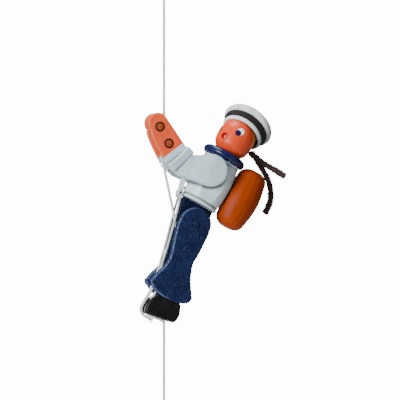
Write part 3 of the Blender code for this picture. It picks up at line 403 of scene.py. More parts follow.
def outward(outline):  # the outline anticlockwise, with its outward normal at each point
    if sum(a[0] * b[1] - b[0] * a[1] for a, b in zip(outline, outline[1:] + outline[:1])) < 0:
        outline = outline[::-1]
    normals = []
    for before, point, after in zip(outline[-1:] + outline, outline, outline[1:] + outline[:1]):
        first = Vector((point[1] - before[1], before[0] - point[0])).normalized()
        last = Vector((after[1] - point[1], point[0] - after[0])).normalized()
        middle = (first + last).normalized()
        normals.append(middle / max(0.5, middle.dot(first)))
    return outline, normals


def inset(outline, normals, distance):
    # the outline moved inwards; points that would pass each other meet instead
    count = len(outline)
    points = [Vector(p) - n * distance for p, n in zip(outline, normals)]
    steps = [Vector(b) - Vector(a) for a, b in zip(outline, outline[1:] + outline[:1])]
    for _ in range(30):
        passed = [(points[(k + 1) % count] - points[k]).dot(steps[k]) < -1e-9 for k in range(count)]
        if not any(passed):
            break
        start = next((k for k in range(count) if passed[k] and not passed[k - 1]), 0)
        k = 0
        while k < count:
            run = [(start + k) % count]
            while passed[run[-1]] and len(run) < count:
                run.append((run[-1] + 1) % count)
            if passed[run[0]]:
                middle = sum((points[j] for j in run), Vector((0.0, 0.0))) / len(run)
                for j in run:
                    points[j] = middle.copy()
            k += len(run)
    return points


def board(name, outline, near, far, rounding, matrix, finish, bend=None, rim=2.2, cuts=()):
    # a flat board cut to an outline in x and z (mm), from y near to y far, with rounded edges;
    # the vertices carry an attribute that is 1 on the rounded edges and falls to 0 at the rim's width
    outline, normals = outward(list(outline))
    bm = bmesh.new()
    roundedEdge = bm.verts.layers.float.new("roundedEdge")
    near, far = sorted((near, far))
    rows = [(rounding + rim, near, 0.0)]
    for a in (pi / 8 * k for k in range(5)):
        rows.append((rounding * (1 - sin(a)), near + rounding * (1 - cos(a)), 1.0))
    back = [(depth, near + far - y, worn) for depth, y, worn in reversed(rows)]
    rings = []
    for depth, y, worn in rows + [(0.0, (near + far) / 2, 0.35)] + back:
        points = inset(outline, normals, depth)
        rings.append([bm.verts.new((point.x * mm, y * mm, point.y * mm)) for point in points])
        for vert in rings[-1]:
            vert[roundedEdge] = worn
    for low, high in zip(rings, rings[1:]):
        for k, vert in enumerate(low):
            n = (k + 1) % len(low)
            bm.faces.new([vert, low[n], high[n], high[k]])
    bm.faces.new(rings[0])
    bm.faces.new(rings[-1])
    bmesh.ops.remove_doubles(bm, verts=bm.verts, dist=1e-6)
    for x in cuts:
        geom = bm.verts[:] + bm.edges[:] + bm.faces[:]
        bmesh.ops.bisect_plane(bm, geom=geom, dist=1e-7, plane_co=(x * mm, 0, 0), plane_no=(1, 0, 0))
    if bend:
        for vert in bm.verts:
            vert.co.y += bend(vert.co / mm) * mm
    return asPiece(name, bm, finish, matrix=matrix)


def arc(x, z, radius, start, end, count):
    angles = [radians(start + (end - start) * k / (count - 1)) for k in range(count)]
    return [(x + radius * cos(a), z + radius * sin(a)) for a in angles]


def softened(points, radius, steps=6):  # the corners of an outline drawn round, by one radius or one for each
    outline = []
    for k, corner in enumerate(points):
        r = radius[k] if hasattr(radius, "__len__") else radius
        here = Vector(corner)
        before, after = Vector(points[k - 1]) - here, Vector(points[(k + 1) % len(points)]) - here
        if r <= 0.0:
            outline.append(tuple(here))
            continue
        half = before.angle(after) / 2
        reach = min(r * cos(half) / sin(half), before.length * 0.48, after.length * 0.48)
        first, last = here + before.normalized() * reach, here + after.normalized() * reach
        for t in (step / steps for step in range(steps + 1)):
            outline.append(tuple(first * (1 - t) ** 2 + here * 2 * t * (1 - t) + last * t ** 2))
    return outline


def filled(points, spacing):  # extra points along straight runs
    outline = []
    for a, b in zip(points, points[1:] + points[:1]):
        a, b = Vector(a), Vector(b)
        steps = max(1, round((b - a).length / spacing))
        outline += [tuple(a.lerp(b, k / steps)) for k in range(steps)]
    return outline


def settle(piece):  # what its modifiers make becomes the piece's plain mesh
    bpy.context.view_layer.update()
    ready = piece.evaluated_get(bpy.context.evaluated_depsgraph_get())
    mesh = bpy.data.meshes.new_from_object(ready)
    piece.modifiers.clear()
    piece.data = mesh
    mesh.set_sharp_from_angle(angle=radians(40.0))


def carve(piece, guide):
    cut = piece.modifiers.new("cut", "BOOLEAN")
    cut.operation, cut.solver, cut.object = "DIFFERENCE", "EXACT", guide
    settle(piece)
    bpy.data.objects.remove(guide)


def carveBox(piece, low, high, matrix):
    bm = bmesh.new()
    bmesh.ops.create_cube(bm, size=1.0)
    for vert in bm.verts:
        vert.co = Vector([(a if c < 0 else b) * mm for c, a, b in zip(vert.co, low, high)])
    carve(piece, asPiece("guide", bm, None, matrix=matrix, smooth=False))


def bore(piece, matrix, centre, radius, length):  # a round hole across it, centre in the matrix's frame
    place = matrix @ shift(*centre) @ spin(-90.0, "X")
    carve(piece, turned("guide", [(radius, -length / 2), (radius, length / 2)], place, None, 40))


def stands(piece, body, *nodes):
    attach(piece, body)
    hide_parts(*nodes)
    return piece


# Finishes
def braidFinish(name, slotName, light, dark, strands, slant):
    paint = Finish(name, slotName)
    u, v, _ = paint.parts(paint.node("ShaderNodeUVMap", {"uv_map": "along"}).outputs[0])
    turns = strands * 2 * pi
    plait = ((u * slant + v) * turns).wave().most(((u * slant - v) * turns).wave())
    grey = paint.noise(paint.local(at["world"]), 0.35, 2.0)
    # darker in the crevices between the plaits: painted shade
    shade = paint.mix(plait.ramp(0.35, 0.95) * (grey * 0.3 + 0.75), dark, light)
    return paint.lay(shade, 0.82, plait, 0.16)


def paintFinish(name, slotName, colour, matrix, deep=None, roughness=0.42, coat=0.15, grain=0.5, pale=None,
                specks=None, worn=None, specular=0.3, grime=(), rubbedAndLitFront=None, shadeColour=ink(84, 94, 100)):
    # a painted board: grain runs along the frame's z, with faint brush lines, specks, edges in an edge colour
    # that is part wear and part painted light, and painted shades; the front limit gives where the edge
    # colour starts and is full, in mm towards the front
    paint = Finish(name, slotName)
    here = paint.local(matrix)
    lines = paint.noise(paint.local(matrix, (1.0, 1.0, 0.09)), 0.9, 5.0, 0.6, 0.6)
    cloud = paint.noise(here, 0.12, 3.0)
    deep = deep or tuple(c * 0.72 for c in colour)
    pale = pale or tuple(min(1.0, c * 1.18 + 0.01) for c in colour)
    shade = paint.mix(lines.ramp(0.38, 0.66), deep, colour)
    shade = paint.mix(cloud.ramp(0.35, 0.75) * 0.5, shade, pale)
    height = lines
    if specks:
        share, speckColour = specks
        dots = paint.noise(here, 1.15, 2.0, 0.7).ramp(0.635 - 0.10 * share, 0.72 - 0.04 * share)
        shade = paint.mix(dots * 0.8, shade, speckColour)
        height = height + dots * 0.5
    # the edge colour on the rounded edges: part wear, part painted light; kept to the front, it is a painted
    # highlight where the light falls
    if worn:
        edgePatches = paint.noise(here, 0.55, 4.0, 0.6)
        share = (paint.attribute("roundedEdge") * 1.3 + edgePatches * 0.8 - 1.42).ramp(0.08, 0.55) * 0.85
        if rubbedAndLitFront:
            share = share * (0.0 - paint.parts(here)[0]).ramp(*rubbedAndLitFront)
        shade = paint.mix(share, shade, worn)
    # painted shade: each share darkens the paint towards the shade colour where shade falls
    for share in grime:
        shade = paint.mix(share(paint), shade, shadeColour)
    rough = lines * 0.16 + (roughness - 0.08)
    return paint.lay(shade, rough, height, 0.05 * grain, coat, 0.18, specular=specular)


def whitePaint(name, matrix, colour, deep, pale, **more):
    return paintFinish(name, "white_paint", colour, matrix, deep, 0.4, 0.1, 0.5, pale, **more)


def navyPaint(name, matrix, speckShare, rubbedAndLitFront=(-2.0, 10.0), light=1.0):
    # the pale edges, stronger towards the front, are wear and a painted highlight where the light falls on
    # them
    shades = (16, 26, 62), (11, 18, 50), (22, 36, 78)
    navy, deep, pale = [tuple(c * light for c in ink(*shade)) for shade in shades]
    return paintFinish(name, "navy_paint", navy, matrix, deep, 0.45, 0.0, 1.0, pale,
                       (speckShare, ink(66, 90, 138)), ink(104, 126, 164), 0.16, rubbedAndLitFront=rubbedAndLitFront)


def shadeInGroove(matrix, height, below, above, strength):  # painted shade in a turned groove and below it
    def share(paint):
        level = paint.xyz(matrix)[2] - height
        return level.ramp(-below, -0.4 * below) * (1.0 - level.ramp(0.1, above)) * strength
    return share


def shadowBeside(matrix, radius, width, strength):  # painted shadow along the round-ended board that lies there
    def share(paint):
        x, _, z = paint.xyz(matrix)
        x = x.most(0.0)
        beyond = (x * x + z * z) ** 0.5 - radius
        below = (z * -0.08).ramp(-0.2, 1.0) * 0.75 + 0.25
        return (1.0 - beyond.ramp(0.3 * width, width)) * below * strength
    return share


def shadeRearward(matrix, near, far, strength):  # painted shade, darker towards the back
    return lambda paint: paint.xyz(matrix)[0].ramp(near, far) * strength


def felted(name, colour, pale):
    paint = Finish(name, "black_felt")
    fluff = paint.noise(paint.local(at["world"]), 2.2, 5.0, 0.75, 0.8)
    return paint.lay(paint.mix(fluff.ramp(0.45, 0.8), colour, pale), 0.95, fluff, 0.35, specular=0.12)


def wire(name, slotName, colour, roughness):
    paint = Finish(name, slotName)
    marks = paint.noise(paint.local(at["world"]), 1.6, 4.0, 0.6)
    shade = paint.mix(marks.ramp(0.3, 0.8), tuple(c * 0.7 for c in colour), colour)
    return paint.lay(shade, marks * 0.2 + (roughness - 0.1), marks, 0.02, metallic=1.0)


def bareWood(name, matrix):
    paint = Finish(name, "bare_beech")
    pores = paint.noise(paint.local(matrix, (1.0, 0.12, 1.0)), 1.6, 5.0, 0.65)
    shade = paint.mix(pores.ramp(0.3, 0.7), ink(150, 84, 38), ink(205, 140, 82))
    return paint.lay(shade, pores * 0.2 + 0.45, pores, 0.06)


def stainFinish(name, matrix, scale):
    # red-brown stain under varnish: rings of the log show along the turned side
    paint = Finish(name, "red_brown_stain")
    long = paint.local(matrix, (1.0, 1.0, 0.10))
    x, y, _ = paint.xyz(matrix)
    warp = paint.noise(long, 0.10, 2.0)
    rings = ((x * 0.9 + y * 0.5 + warp * 9.0) * (2 * pi / scale)).wave()
    pores = paint.noise(long, 1.4, 5.0, 0.65)
    shade = paint.mix((rings * 0.2 + pores * 0.8).ramp(0.2, 0.85), ink(138, 49, 10), ink(156, 58, 13))
    return paint.lay(shade, pores * 0.12 + 0.38, pores, 0.03, 0.0, 0.2, specular=0.09)


cordFinish = braidFinish("braidedCord", "braided_cord", ink(248, 250, 249), ink(178, 184, 184), 4, 0.55)
elasticFinish = braidFinish("wrappedElastic", "white_elastic", ink(236, 242, 242), ink(170, 178, 180), 2, 2.2)
steelFinish = wire("brightWire", "steel_wire", ink(190, 188, 184), 0.32)
blackFinish = wire("blackedNail", "steel_wire", ink(44, 42, 42), 0.5)
brassFinish = wire("brassWire", "brass_wire", ink(222, 186, 110), 0.28)
# the cap's white is painted darker towards the back of the crown: painted shade on the side away from the
# light
capPaint = paintFinish("capWhite", "cap_white", ink(226, 229, 230), at["cap"], ink(190, 195, 199), 0.7, 0.0,
                       1.6, ink(242, 243, 244), specular=0.15,
                       grime=(shadeRearward(at["cap"], -13.0, 7.0, 0.85),), shadeColour=ink(128, 129, 134))
feltFinish = felted("blackFelt", ink(34, 31, 34), ink(74, 69, 70))
# the ribbons' felt is the band's black felt painted lighter, as painted light for the shade they hang in
ribbonFelt = felted("ribbonFelt", ink(70, 57, 55), ink(104, 90, 86))
print("finishes mixed")


# Cord, first the stretches, then what is on them
cordLine = {
    "radius": 1.2, "ringRadius": 5.0, "ringWire": 1.1, "knot": 4.8, "gap": 0.3,
    "ballRadius": 9.0, "ballHeight": -364.0, "ballSlack": 0.25,
    "hands": -118.0, "sole": -290.8, "hiddenRun": 29.0,
    "grip": [(0.05, -118.3), (0.05, -121.0), (0.1, -126.0), (-1.2, -131.4),
             (-3.0, -136.0), (-3.85, -139.8), (-3.5, -144.0), (-2.4, -149.0), (-1.35, -153.2)],
    "foot": [(-1.3, -153.5), (0.4, -161.3), (3.7, -176.5), (6.9, -191.2), (10.2, -206.4),
             (12.6, -217.4), (14.1, -223.3), (14.3, -226.6), (13.4, -229.6), (8.2, -238.2),
             (2.0, -248.4), (-4.2, -258.6), (-10.4, -268.6), (-14.2, -274.2), (-15.6, -277.7),
             (-14.6, -281.2), (-11.4, -283.1), (-6.6, -284.9), (-3.2, -286.3), (-1.1, -287.9),
             (0.0, -290.2)],
    "elastic": [(13.6, 3.7, -181.7), (13.0, 3.7, -184.8), (10.9, 3.7, -193.0), (8.1, 3.6, -203.0),
                (3.7, 3.1, -219.0), (-0.2, 2.4, -232.0), (-4.4, 1.7, -246.0), (-8.1, 1.3, -255.0),
                (-12.8, 1.3, -264.5), (-17.4, 1.6, -271.6), (-19.7, 1.7, -276.7), (-18.8, 1.7, -280.9),
                (-15.8, 1.5, -283.6), (-11.8, 1.1, -285.7)],
    "elasticRadius": 1.05, "elasticApart": 0.5, "nail": (-0.3, 0.0, 1.4), "hook": 1.5,
}


def wraps(name, top, height):  # three close turns of cord round the cord
    turns, steps, radius, half = 3, 28, 1.28, 0.85
    pitch = (height - 2 * half) / turns
    path = [Vector((radius * cos(2 * pi * k / steps), radius * sin(2 * pi * k / steps),
                    top - half - pitch * k / steps)) * mm for k in range(turns * steps + 1)]
    return tube(name, path, 1.0 * mm, cordFinish, 12)


def makeCords(c):
    radius, gap, ball = c["radius"], c["gap"], c["ballRadius"]
    eyeRadius = c["ringWire"] + gap + radius
    eyeHeight = -(2 * c["ringRadius"] - c["ringWire"])
    knotTop = eyeHeight - eyeRadius - radius - gap
    upperTop, low = knotTop - c["knot"] - gap, c["ballHeight"] - ball
    straight = lambda *heights: evenly([Vector((0, 0, z * mm)) for z in heights], 1.4 * mm)
    curved = lambda points: evenly(curvePoints([Vector((x, 0, z)) * mm for x, z in points], 12), 1.0 * mm)
    cords = {}
    for name, path, bodies, start, end in (
            ("upper", straight(c["hands"], upperTop), ("cord_line", "grip"),
             (0, 0, (upperTop - 1) * mm), (0, 0, (c["hands"] + 1) * mm)),
            ("lower", straight(c["sole"] + c["hiddenRun"], low), ("grip", "cord_line"),
             (0, 0, (c["sole"] - 1) * mm), (0, 0, (c["ballHeight"] + ball) * mm)),
            ("grip", curved(c["grip"]), ("grip", "figure"), (-0.0012, 0, -0.1314), (-0.0014, 0, -0.1528)),
            ("middle", curved(c["foot"]), ("figure", "legs"), (0.0, 0, -0.156), (0.0130, 0, -0.2170))):
        cords[name] = tube(name + "Cord", path, radius * mm, cordFinish), path
        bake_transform(cords[name][0])
        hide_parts(name + "_cord")
    eye = turned("cordEye", hoop(eyeRadius, radius, 16), shift(0, 0, eyeHeight) @ spin(90.0, "Y"),
                 cordFinish, 48)
    eyeUv(eye, eyeRadius, radius, eyeHeight)
    stands(eye, "cord_line", "cord_eye")
    topKnot = stands(wraps("topKnot", knotTop, c["knot"]), "cord_line", "top_knot")
    ring = turned("hangingRing", hoop(c["ringRadius"], c["ringWire"], 20),
                  shift(0, 0, c["ringWire"] - c["ringRadius"]) @ spin(90.0, "X"), brassFinish, 72)
    stands(ring, "cord_line", "hanging_ring")
    lowKnot = stands(wraps("lowKnot", low - gap, c["knot"]), "cord_line", "bottom_knot")
    hole = radius + c["ballSlack"]
    start = asin(hole / ball)
    angles = [start + (pi - 2 * start) * k / 40 for k in range(41)]
    profile = [(hole, 0.4 - ball * cos(start))] + [(ball * sin(a), -ball * cos(a)) for a in angles]
    profile += [(hole, ball * cos(start) - 0.4), profile[0]]
    place = shift(0, 0, c["ballHeight"])
    pullBall = stands(turned("pullBall", profile, place, stainFinish("ballStain", place, 3.0), 72),
                      "cord_line", "pull_ball")
    for name, end, pieces in (("upper", "knot", [topKnot, eye, ring]), ("lower", "knot", [pullBall, lowKnot]),
                              ("middle", "object", [])):
        cord, path = cords[name]
        runLength(path)
        evenly(path, runLength(path) / 38)


def eyeUv(piece, major, minor, height):  # the braid runs round the eye as it does along the cord
    layer = piece.data.uv_layers.new(name="along")
    for loop in piece.data.loops:
        p = piece.data.vertices[loop.vertex_index].co / mm
        a = atan2(p.y, p.z - height)
        across = atan2(p.x, sqrt(p.y ** 2 + (p.z - height) ** 2) - major)
        layer.data[loop.index].uv = (a * major / (2 * minor), across / (2 * pi))


def within(value, low, high):
    return min(max((value - low) / (high - low), 0.0), 1.0)


def mirrored(path):  # back along the far side
    return [Vector((p.x, -p.y, p.z)) for p in reversed(path)]


def makeElastic(c):
    near = [Vector((x, -y, z)) * mm for x, y, z in c["elastic"]]
    far = mirrored(near)
    for strand, apart in ((near, c["elasticApart"]), (far, -c["elasticApart"])):
        for p in strand:  # one strand hangs ahead of the other
            p.x += apart * mm * within(p.z / mm, -275.0, -250.0) * (1.0 - within(p.z / mm, -200.0, -182.0))
    nail, toe = at["block"] @ (Vector(c["nail"]) * mm) / mm, near[-1] / mm
    start = [nail + Vector(step) for step in ((-1.45, 0.0, -4.2), (-1.75, 0.0, -2.2))]
    start += [nail + Vector((x, 0.0, z)) for x, z in arc(0.0, 0.0, c["hook"], 180.0, -20.0, 6)]
    start = [Vector((p.x, -c["elastic"][0][1], p.z)) * mm for p in start]
    turn = Vector((toe.x + 1.6, 0.0, toe.z - 0.4)) * mm
    path = evenly(curvePoints(start + near[1:] + [turn] + far[:-1] + mirrored(start), 10), 0.7 * mm)
    elastic = tube("elasticLoop", path, c["elasticRadius"] * mm, elasticFinish, 12)
    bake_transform(elastic)
    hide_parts("elastic_loop")


makeCords(cordLine)
makeElastic(cordLine)
print("cords laid")


# Hands, dowels, cuffs and arms
hand = {
    "tip": (2.0, 11.2), "tipRadius": 8.5, "length": 31.0, "back": 8.9, "palm": -13.2, "thickness": 6.0,
    "inner": 2.5, "toeIn": 6.1, "rounding": 0.9, "wrist": -14.4,
    "dowelRadius": 4.0, "dowelSpacing": 15.7, "dowelSlant": 8.5, "bore": 4.22,
}


def dowelPlaces(h):
    slant, half = radians(h["dowelSlant"]), h["dowelSpacing"] / 2
    return [(half * sin(slant), half * cos(slant)), (-half * sin(slant), -half * cos(slant))]


def skinPaint(h):
    paint = Finish("skinPaint", "skin_paint")
    here = paint.local(at["grip"])
    grain = paint.noise(paint.local(at["grip"], (1.0, 1.0, 0.10)), 0.8, 5.0, 0.62, 0.5)
    pores = paint.noise(paint.local(at["grip"], (1.0, 1.0, 0.25)), 3.2, 3.0, 0.7)
    skin = paint.mix(grain.ramp(0.3, 0.72), ink(206, 70, 34), ink(226, 88, 46))
    skin = paint.mix(pores.ramp(0.58, 0.72) * 0.3, skin, ink(196, 52, 22))
    skin = paint.mix((paint.attribute("roundedEdge") - 0.4).ramp(0.1, 0.6) * 0.3, skin, ink(250, 128, 76))
    level = paint.parts(here)[2] + (paint.noise(here, 0.45, 2.0) * 0.5 - 0.25)
    sleeve = level.ramp(h["wrist"] - 0.12, h["wrist"] + 0.12)
    skin = paint.mix(sleeve, ink(186, 208, 217), skin)
    return paint.lay(skin, grain * 0.15 + 0.38, grain + sleeve * 0.4, 0.05, 0.08, 0.2, specular=0.25)


def dowelEnd(name, x, z):  # bare end grain, darkened in a ring over its chamfered rim
    paint = Finish(name, "bare_beech")
    here = paint.local(at["grip"])
    px, _, pz = paint.parts(here)
    dx, dz = px - x, pz - z
    away = (dx * dx + dz * dz) ** 0.5
    wobble = paint.noise(here, 0.9, 2.0) * 0.5 - 0.25
    pores = paint.noise(here, 3.5, 4.0, 0.7)
    rings = ((away + wobble * 2.0) * 5.2).wave()
    wood = paint.mix(rings * 0.4 + pores * 0.6, ink(118, 50, 22), ink(164, 78, 38))
    darkRing = paint.mix((away + wobble * 0.6).ramp(2.55, 3.0), wood, ink(36, 10, 5))
    return paint.lay(darkRing, pores * 0.2 + 0.5, pores, 0.08, specular=0.2)


def makeHands(h):
    skin = skinPaint(h)
    tx, tz = h["tip"]
    foot, palm = tz - h["length"], tx - h["tipRadius"]
    front = curvePoints([(palm, tz - 0.6)] + [(palm - out * (palm - h["palm"]), tz - down * h["length"])
                                              for out, down in ((0.35, 0.17), (0.68, 0.50), (1.0, 1.0))], 6)
    outline = arc(tx, tz, h["tipRadius"], 8.0, 176.0, 30) + [tuple(p) for p in front] + [(h["back"], foot)]
    outline = filled(outline, 2.0)
    slope, reach = sin(radians(h["toeIn"])), h["inner"] + h["thickness"]
    for side, name in bothSides:
        piece = board(name + "Hand", outline, side * h["inner"], side * reach, h["rounding"], at["grip"],
                      skin, lambda co: side * slope * (tz - co.z))
        for x, z in dowelPlaces(h):
            bore(piece, at["grip"], (x, side * reach, z), h["bore"], 30.0)
        stands(piece, "figure", name + "_hand")
    for (x, z), name in zip(dowelPlaces(h), ("upper", "lower")):
        half, r = reach + slope * (tz - z) + 0.15, h["dowelRadius"]
        profile = twoEnded([(0.0, -half), (r - 0.9, -half), (r - 0.45, 0.2 - half), (r - 0.1, 0.6 - half),
                            (r, 1.1 - half)])
        dowel = turned(name + "GripDowel", profile, at["grip"] @ shift(x, 0, z) @ spin(-90.0, "X"),
                       dowelEnd(name + "DowelWood", x, z), 64)
        stands(dowel, "figure", name + "_grip_dowel")


cuff = {
    "width": 23.2, "height": 7.0, "inner": 6.2, "outer": 15.9, "rounding": 1.1, "corner": 0.8, "slack": 0.15,
}


def makeCuffs(c, h):
    white = whitePaint("cuffWhite", at["cuff"], ink(184, 207, 215), ink(164, 187, 197), ink(204, 224, 230),
                       worn=ink(222, 236, 240))
    w, d, slack = c["width"] / 2, c["height"] / 2, c["slack"]
    outline = filled(softened([(-w, -d), (w, -d), (w, d), (-w, d)], c["corner"], 4), 1.5)
    out = h["inner"] + h["thickness"] + sin(radians(h["toeIn"])) * h["length"]
    foot = h["tip"][1] - h["length"]
    for side, name in bothSides:
        piece = board(name + "Cuff", outline, side * c["inner"], side * c["outer"], c["rounding"], at["cuff"],
                      white, rim=1.0)
        near, far = sorted((side * (out - h["thickness"] - slack), side * (out + slack)))
        carveBox(piece, (h["palm"] - 2 * slack, near, foot - 2 * slack),
                 (h["back"] + 2 * slack, far, h["tip"][1]), at["grip"])
        stands(piece, "figure", name + "_cuff")


arm = {
    "shoulderRadius": 13.6, "thickness": 5.9, "inner": 15.3, "turnIn": 16.7, "elbow": 3.0, "rounding": 1.0,
    "ease": 2.4, "cuts": (3.0, 1.5, 0.0, -1.5, -3.0, -4.5, -6.0, -8.0, -11.0),
}


def makeArms(a, c):
    # the sleeves' rounded edges are painted a darker grey-blue: painted shade
    white = whitePaint("sleeveWhite", at["shoulder"] @ spin(90.0, "Y"), ink(189, 215, 224),
                       ink(172, 199, 208), ink(200, 224, 231), worn=ink(150, 172, 181))
    back = at["shoulder"].inverted() @ at["cuff"]
    top, low = [back @ (Vector((x, 0.0, -c["height"] / 2 - 0.3)) * mm) / mm
                for x in (c["width"] / 2 - 0.6, 0.2 - c["width"] / 2)]
    radius, ease = a["shoulderRadius"], a["ease"]
    disc = arc(0.0, 0.0, radius, -90.0, 118.0, 56)
    outline = disc + softened([(top.x, top.z), (low.x, low.z), (low.x + 5.5, -radius), disc[0]],
                              [1.0, 1.2, a["elbow"], 0.0], 6)[:-1]
    outline, outer = filled(outline, 1.6), a["inner"] + a["thickness"]
    slope = sin(radians(a["turnIn"]))

    def inwards(co):  # straight at the shoulder, then easing over to the slope
        ahead = -co.x - 1.0
        return slope * max(0.0, 0.5 * (ahead + sqrt(ahead * ahead + ease * ease)) - 0.02 * ease)

    for side, name in bothSides:
        piece = board(name + "UpperArm", outline, side * a["inner"], side * outer, a["rounding"],
                      at["shoulder"], white, lambda co: -side * inwards(co), cuts=a["cuts"])
        stands(piece, "figure", name + "_upper_arm")


makeHands(hand)
makeCuffs(cuff, hand)
makeArms(arm, cuff)
print("arms made")


# Torso, collar, backpack and chest block
torso = {"length": 42.0, "end": 15.8, "middle": 17.5, "flat": 15.0, "hem": 3.6, "rim": 2.4, "groove": 0.5}


def creaseFlats(piece):  # a milled flat meets the round at a slight but crisp angle
    flats = {face.index for face in piece.data.polygons if abs(face.normal.y) > 0.9999}
    bm = bmesh.new()
    bm.from_mesh(piece.data)
    for edge in bm.edges:
        sides = [face.index in flats for face in edge.link_faces]
        if any(sides) and not all(sides):
            edge.smooth = False
    bm.to_mesh(piece.data)
    bm.free()


def makeTorso(t):
    body, end, hem, groove, top = at["body"], t["end"], t["hem"], t["groove"], t["length"]
    low, high, steps, beyond = hem + 0.4, top - t["rim"], 24, 30.0
    # painted shade in the hem groove and below it, at the bottom and the top rim, and a painted shadow of the
    # upper arm along its edge
    grime = (shadeInGroove(body, hem, 2.1, 0.9, 0.72), shadeInGroove(body, 0.0, 0.75, 0.75, 0.6),
             shadeInGroove(body, high + 0.4, 0.75, 0.75, 0.75),
             shadowBeside(at["shoulder"], arm["shoulderRadius"], 3.4, 0.95))
    white = whitePaint("jacketWhite", body, ink(209, 230, 237), ink(193, 217, 225), ink(220, 238, 243),
                       grime=grime)
    profile = [(0.0, 0.0), (end - 0.9, 0.0), (end - 0.3, 0.2), (end, 0.8), (end, hem - groove - 0.3),
               (end - 0.15, hem - groove), (end - groove, hem - 0.15), (end - groove, hem)]
    profile += [(end + (t["middle"] - end) * sin(pi * k / steps), low + (high - low) * k / steps)
                for k in range(steps + 1)]
    profile += [(end - 0.35, high + 0.25), (end - 0.05, high + 0.5), (end, high + 0.9), (end, top - 0.9),
                (end - 0.3, top - 0.25), (end - 0.9, top), (0.0, top)]
    piece = turned("torso", profile, body, white, 144)
    for near, far in ((t["flat"], beyond), (-beyond, -t["flat"])):
        carveBox(piece, (-beyond, near, hem + 0.1), (beyond, far, top + 1.0), body)
    creaseFlats(piece)
    stands(piece, "figure", "torso")


collar = {"major": 15.2, "minor": 3.6}


def makeCollar(c):
    paint = Finish("collarGloss", "navy_gloss")
    cloud = paint.noise(paint.local(at["collar"]), 0.2, 3.0)
    shade = paint.mix(cloud.ramp(0.3, 0.8), ink(14, 19, 58), ink(22, 30, 78))
    paint.lay(shade, cloud * 0.1 + 0.24, cloud, 0.01, 0.06, 0.1, specular=0.24)
    ring = turned("collarRing", hoop(c["major"], c["minor"], 32), at["collar"], paint, 128)
    stands(ring, "figure", "collar_ring")


backpack = {"length": 53.2, "end": 12.9, "middle": 15.2, "rounding": 9.2, "flat": -12.5}


def makeBackpack(b):
    half, r, end, steps = b["length"] / 2, b["rounding"], b["end"], 28
    low = [(end - r + r * sin(radians(a)), -half + r * (1 - cos(radians(a)))) for a in range(0, 84, 6)]
    straight = half - r
    middle = [(end + (b["middle"] - end) * cos(pi / 2 * t), straight * t)
              for t in (2 * k / steps - 1 for k in range(steps + 1))]
    profile = [(0.0, -half)] + low + middle + [(x, -z) for x, z in reversed(low)] + [(0.0, half)]

    def milled(co):
        co.x = max(co.x, b["flat"] * mm)

    stain = stainFinish("packStain", at["pack"], 5.5)
    stands(turned("backpack", profile, at["pack"], stain, 128, 40.0, milled), "figure", "backpack")


block = {"length": 13.6, "depth": 4.2, "width": 5.0, "rounding": 0.5}


def makeChestBlock(b):
    white = paintFinish("blockWhite", "white_paint", ink(232, 242, 244), at["block"], ink(212, 225, 229),
                        0.45, 0.1, 0.6)
    half, side = b["depth"] / 2, b["width"] / 2
    outline = arc(0.0, b["length"] - half, half, 0.0, 180.0, 24) + [(-half, -1.0), (half, -1.0)]
    piece = board("chestBlock", filled(outline, 1.2), -side, side, b["rounding"], at["block"], white, rim=0.7)
    stands(piece, "figure", "chest_block")


makeTorso(torso)
makeCollar(collar)
makeBackpack(backpack)
makeChestBlock(block)
print("body made")


# Pelvis, legs and shoes
pelvis = {
    "thickness": 10.0, "rounding": 0.8, "hipRadius": 12.0,
    "outline": [(13.0, -0.3), (-14.2, -0.3), (-13.7, -8.15), (-12.1, -14.7)],
}


def makePelvis(p):
    outline = p["outline"] + arc(*pose["hip"], p["hipRadius"], 199.0, 360.0, 44)
    half = p["thickness"] / 2
    # the pelvis navy is the trousers' navy painted darker: painted shade
    piece = board("pelvis", filled(outline, 1.6), -half, half, p["rounding"], at["body"],
                  navyPaint("hipNavy", at["body"], 0.1, (20.0, 30.0), 0.6))
    stands(piece, "figure", "pelvis")


leg = {
    "inner": 5.3, "thickness": 7.5, "rounding": 1.1, "hipDowel": 3.0,
    "thighFront": 14.8, "thighBack": 13.2, "thighTop": 13.6, "knee": 31.0, "kneeFront": 12.4, "kneeBack": 8.3,
    "hem": 56.5, "hemFront": 21.9, "hemBack": 16.6, "sag": 10.6,
}


def legOutline(d):
    knee, hem, sag = -d["knee"], -d["hem"], d["sag"]
    thigh, front, toe = -d["thighFront"], -d["kneeFront"], -d["hemFront"]
    rear, heel = d["kneeBack"], d["hemBack"]
    runs = [
        [(thigh, -5.0), (thigh + 0.9, 0.56 * knee), (front, knee), (front - 1.7, knee - 9.6),
         (toe + 3.4, hem + 7.8), (toe, hem)],
        [(toe + 1.6, hem - 2.8), (toe + 9.4, hem - 0.75 * sag), (-3.0, hem - sag + 0.5), (7.3, hem - sag),
         (heel - 2.2, hem - 0.74 * sag), (heel, hem - 3.6)],
        [(heel - 1.6, hem), (rear + 2.3, knee - 14.8), (rear, knee - 2.0), (rear + 1.9, knee + 6.8),
         (d["thighBack"] - 1.0, -11.8), (d["thighBack"], -4.0)],
    ]
    top = arc(-0.6, 0.0, d["thighTop"], 10.0, 165.0, 40)
    return top + [tuple(p) for run in runs for p in curvePoints(run, 8)]


def makeLegs(d):
    navy = navyPaint("trouserNavy", at["hip"], 0.6)
    outline = filled(legOutline(d), 1.6)
    r, outer = d["hipDowel"], d["inner"] + d["thickness"]
    for side, name in bothSides:
        piece = board(name + "Leg", outline, side * d["inner"], side * outer, d["rounding"], at["hip"], navy)
        bore(piece, at["hip"], (0, side * 15.0, 0), r + 0.12, 12.0)
        stands(piece, "legs", name + "_leg")
    half = outer - 0.06
    profile = twoEnded([(0.0, -half), (r - 0.5, -half), (r, 0.35 - half)])
    stands(turned("hipDowel", profile, at["hip"] @ spin(-90.0, "X"), navy, 48), "legs", "hip_dowel")


shoe = {
    "slot": 1.6, "outer": 8.0, "sole": 83.5, "toe": 16.8, "heel": 11.6, "rounding": 1.0,
    "tongueTop": 50.0, "tongueOuter": 4.7, "hemGap": 0.3,
}


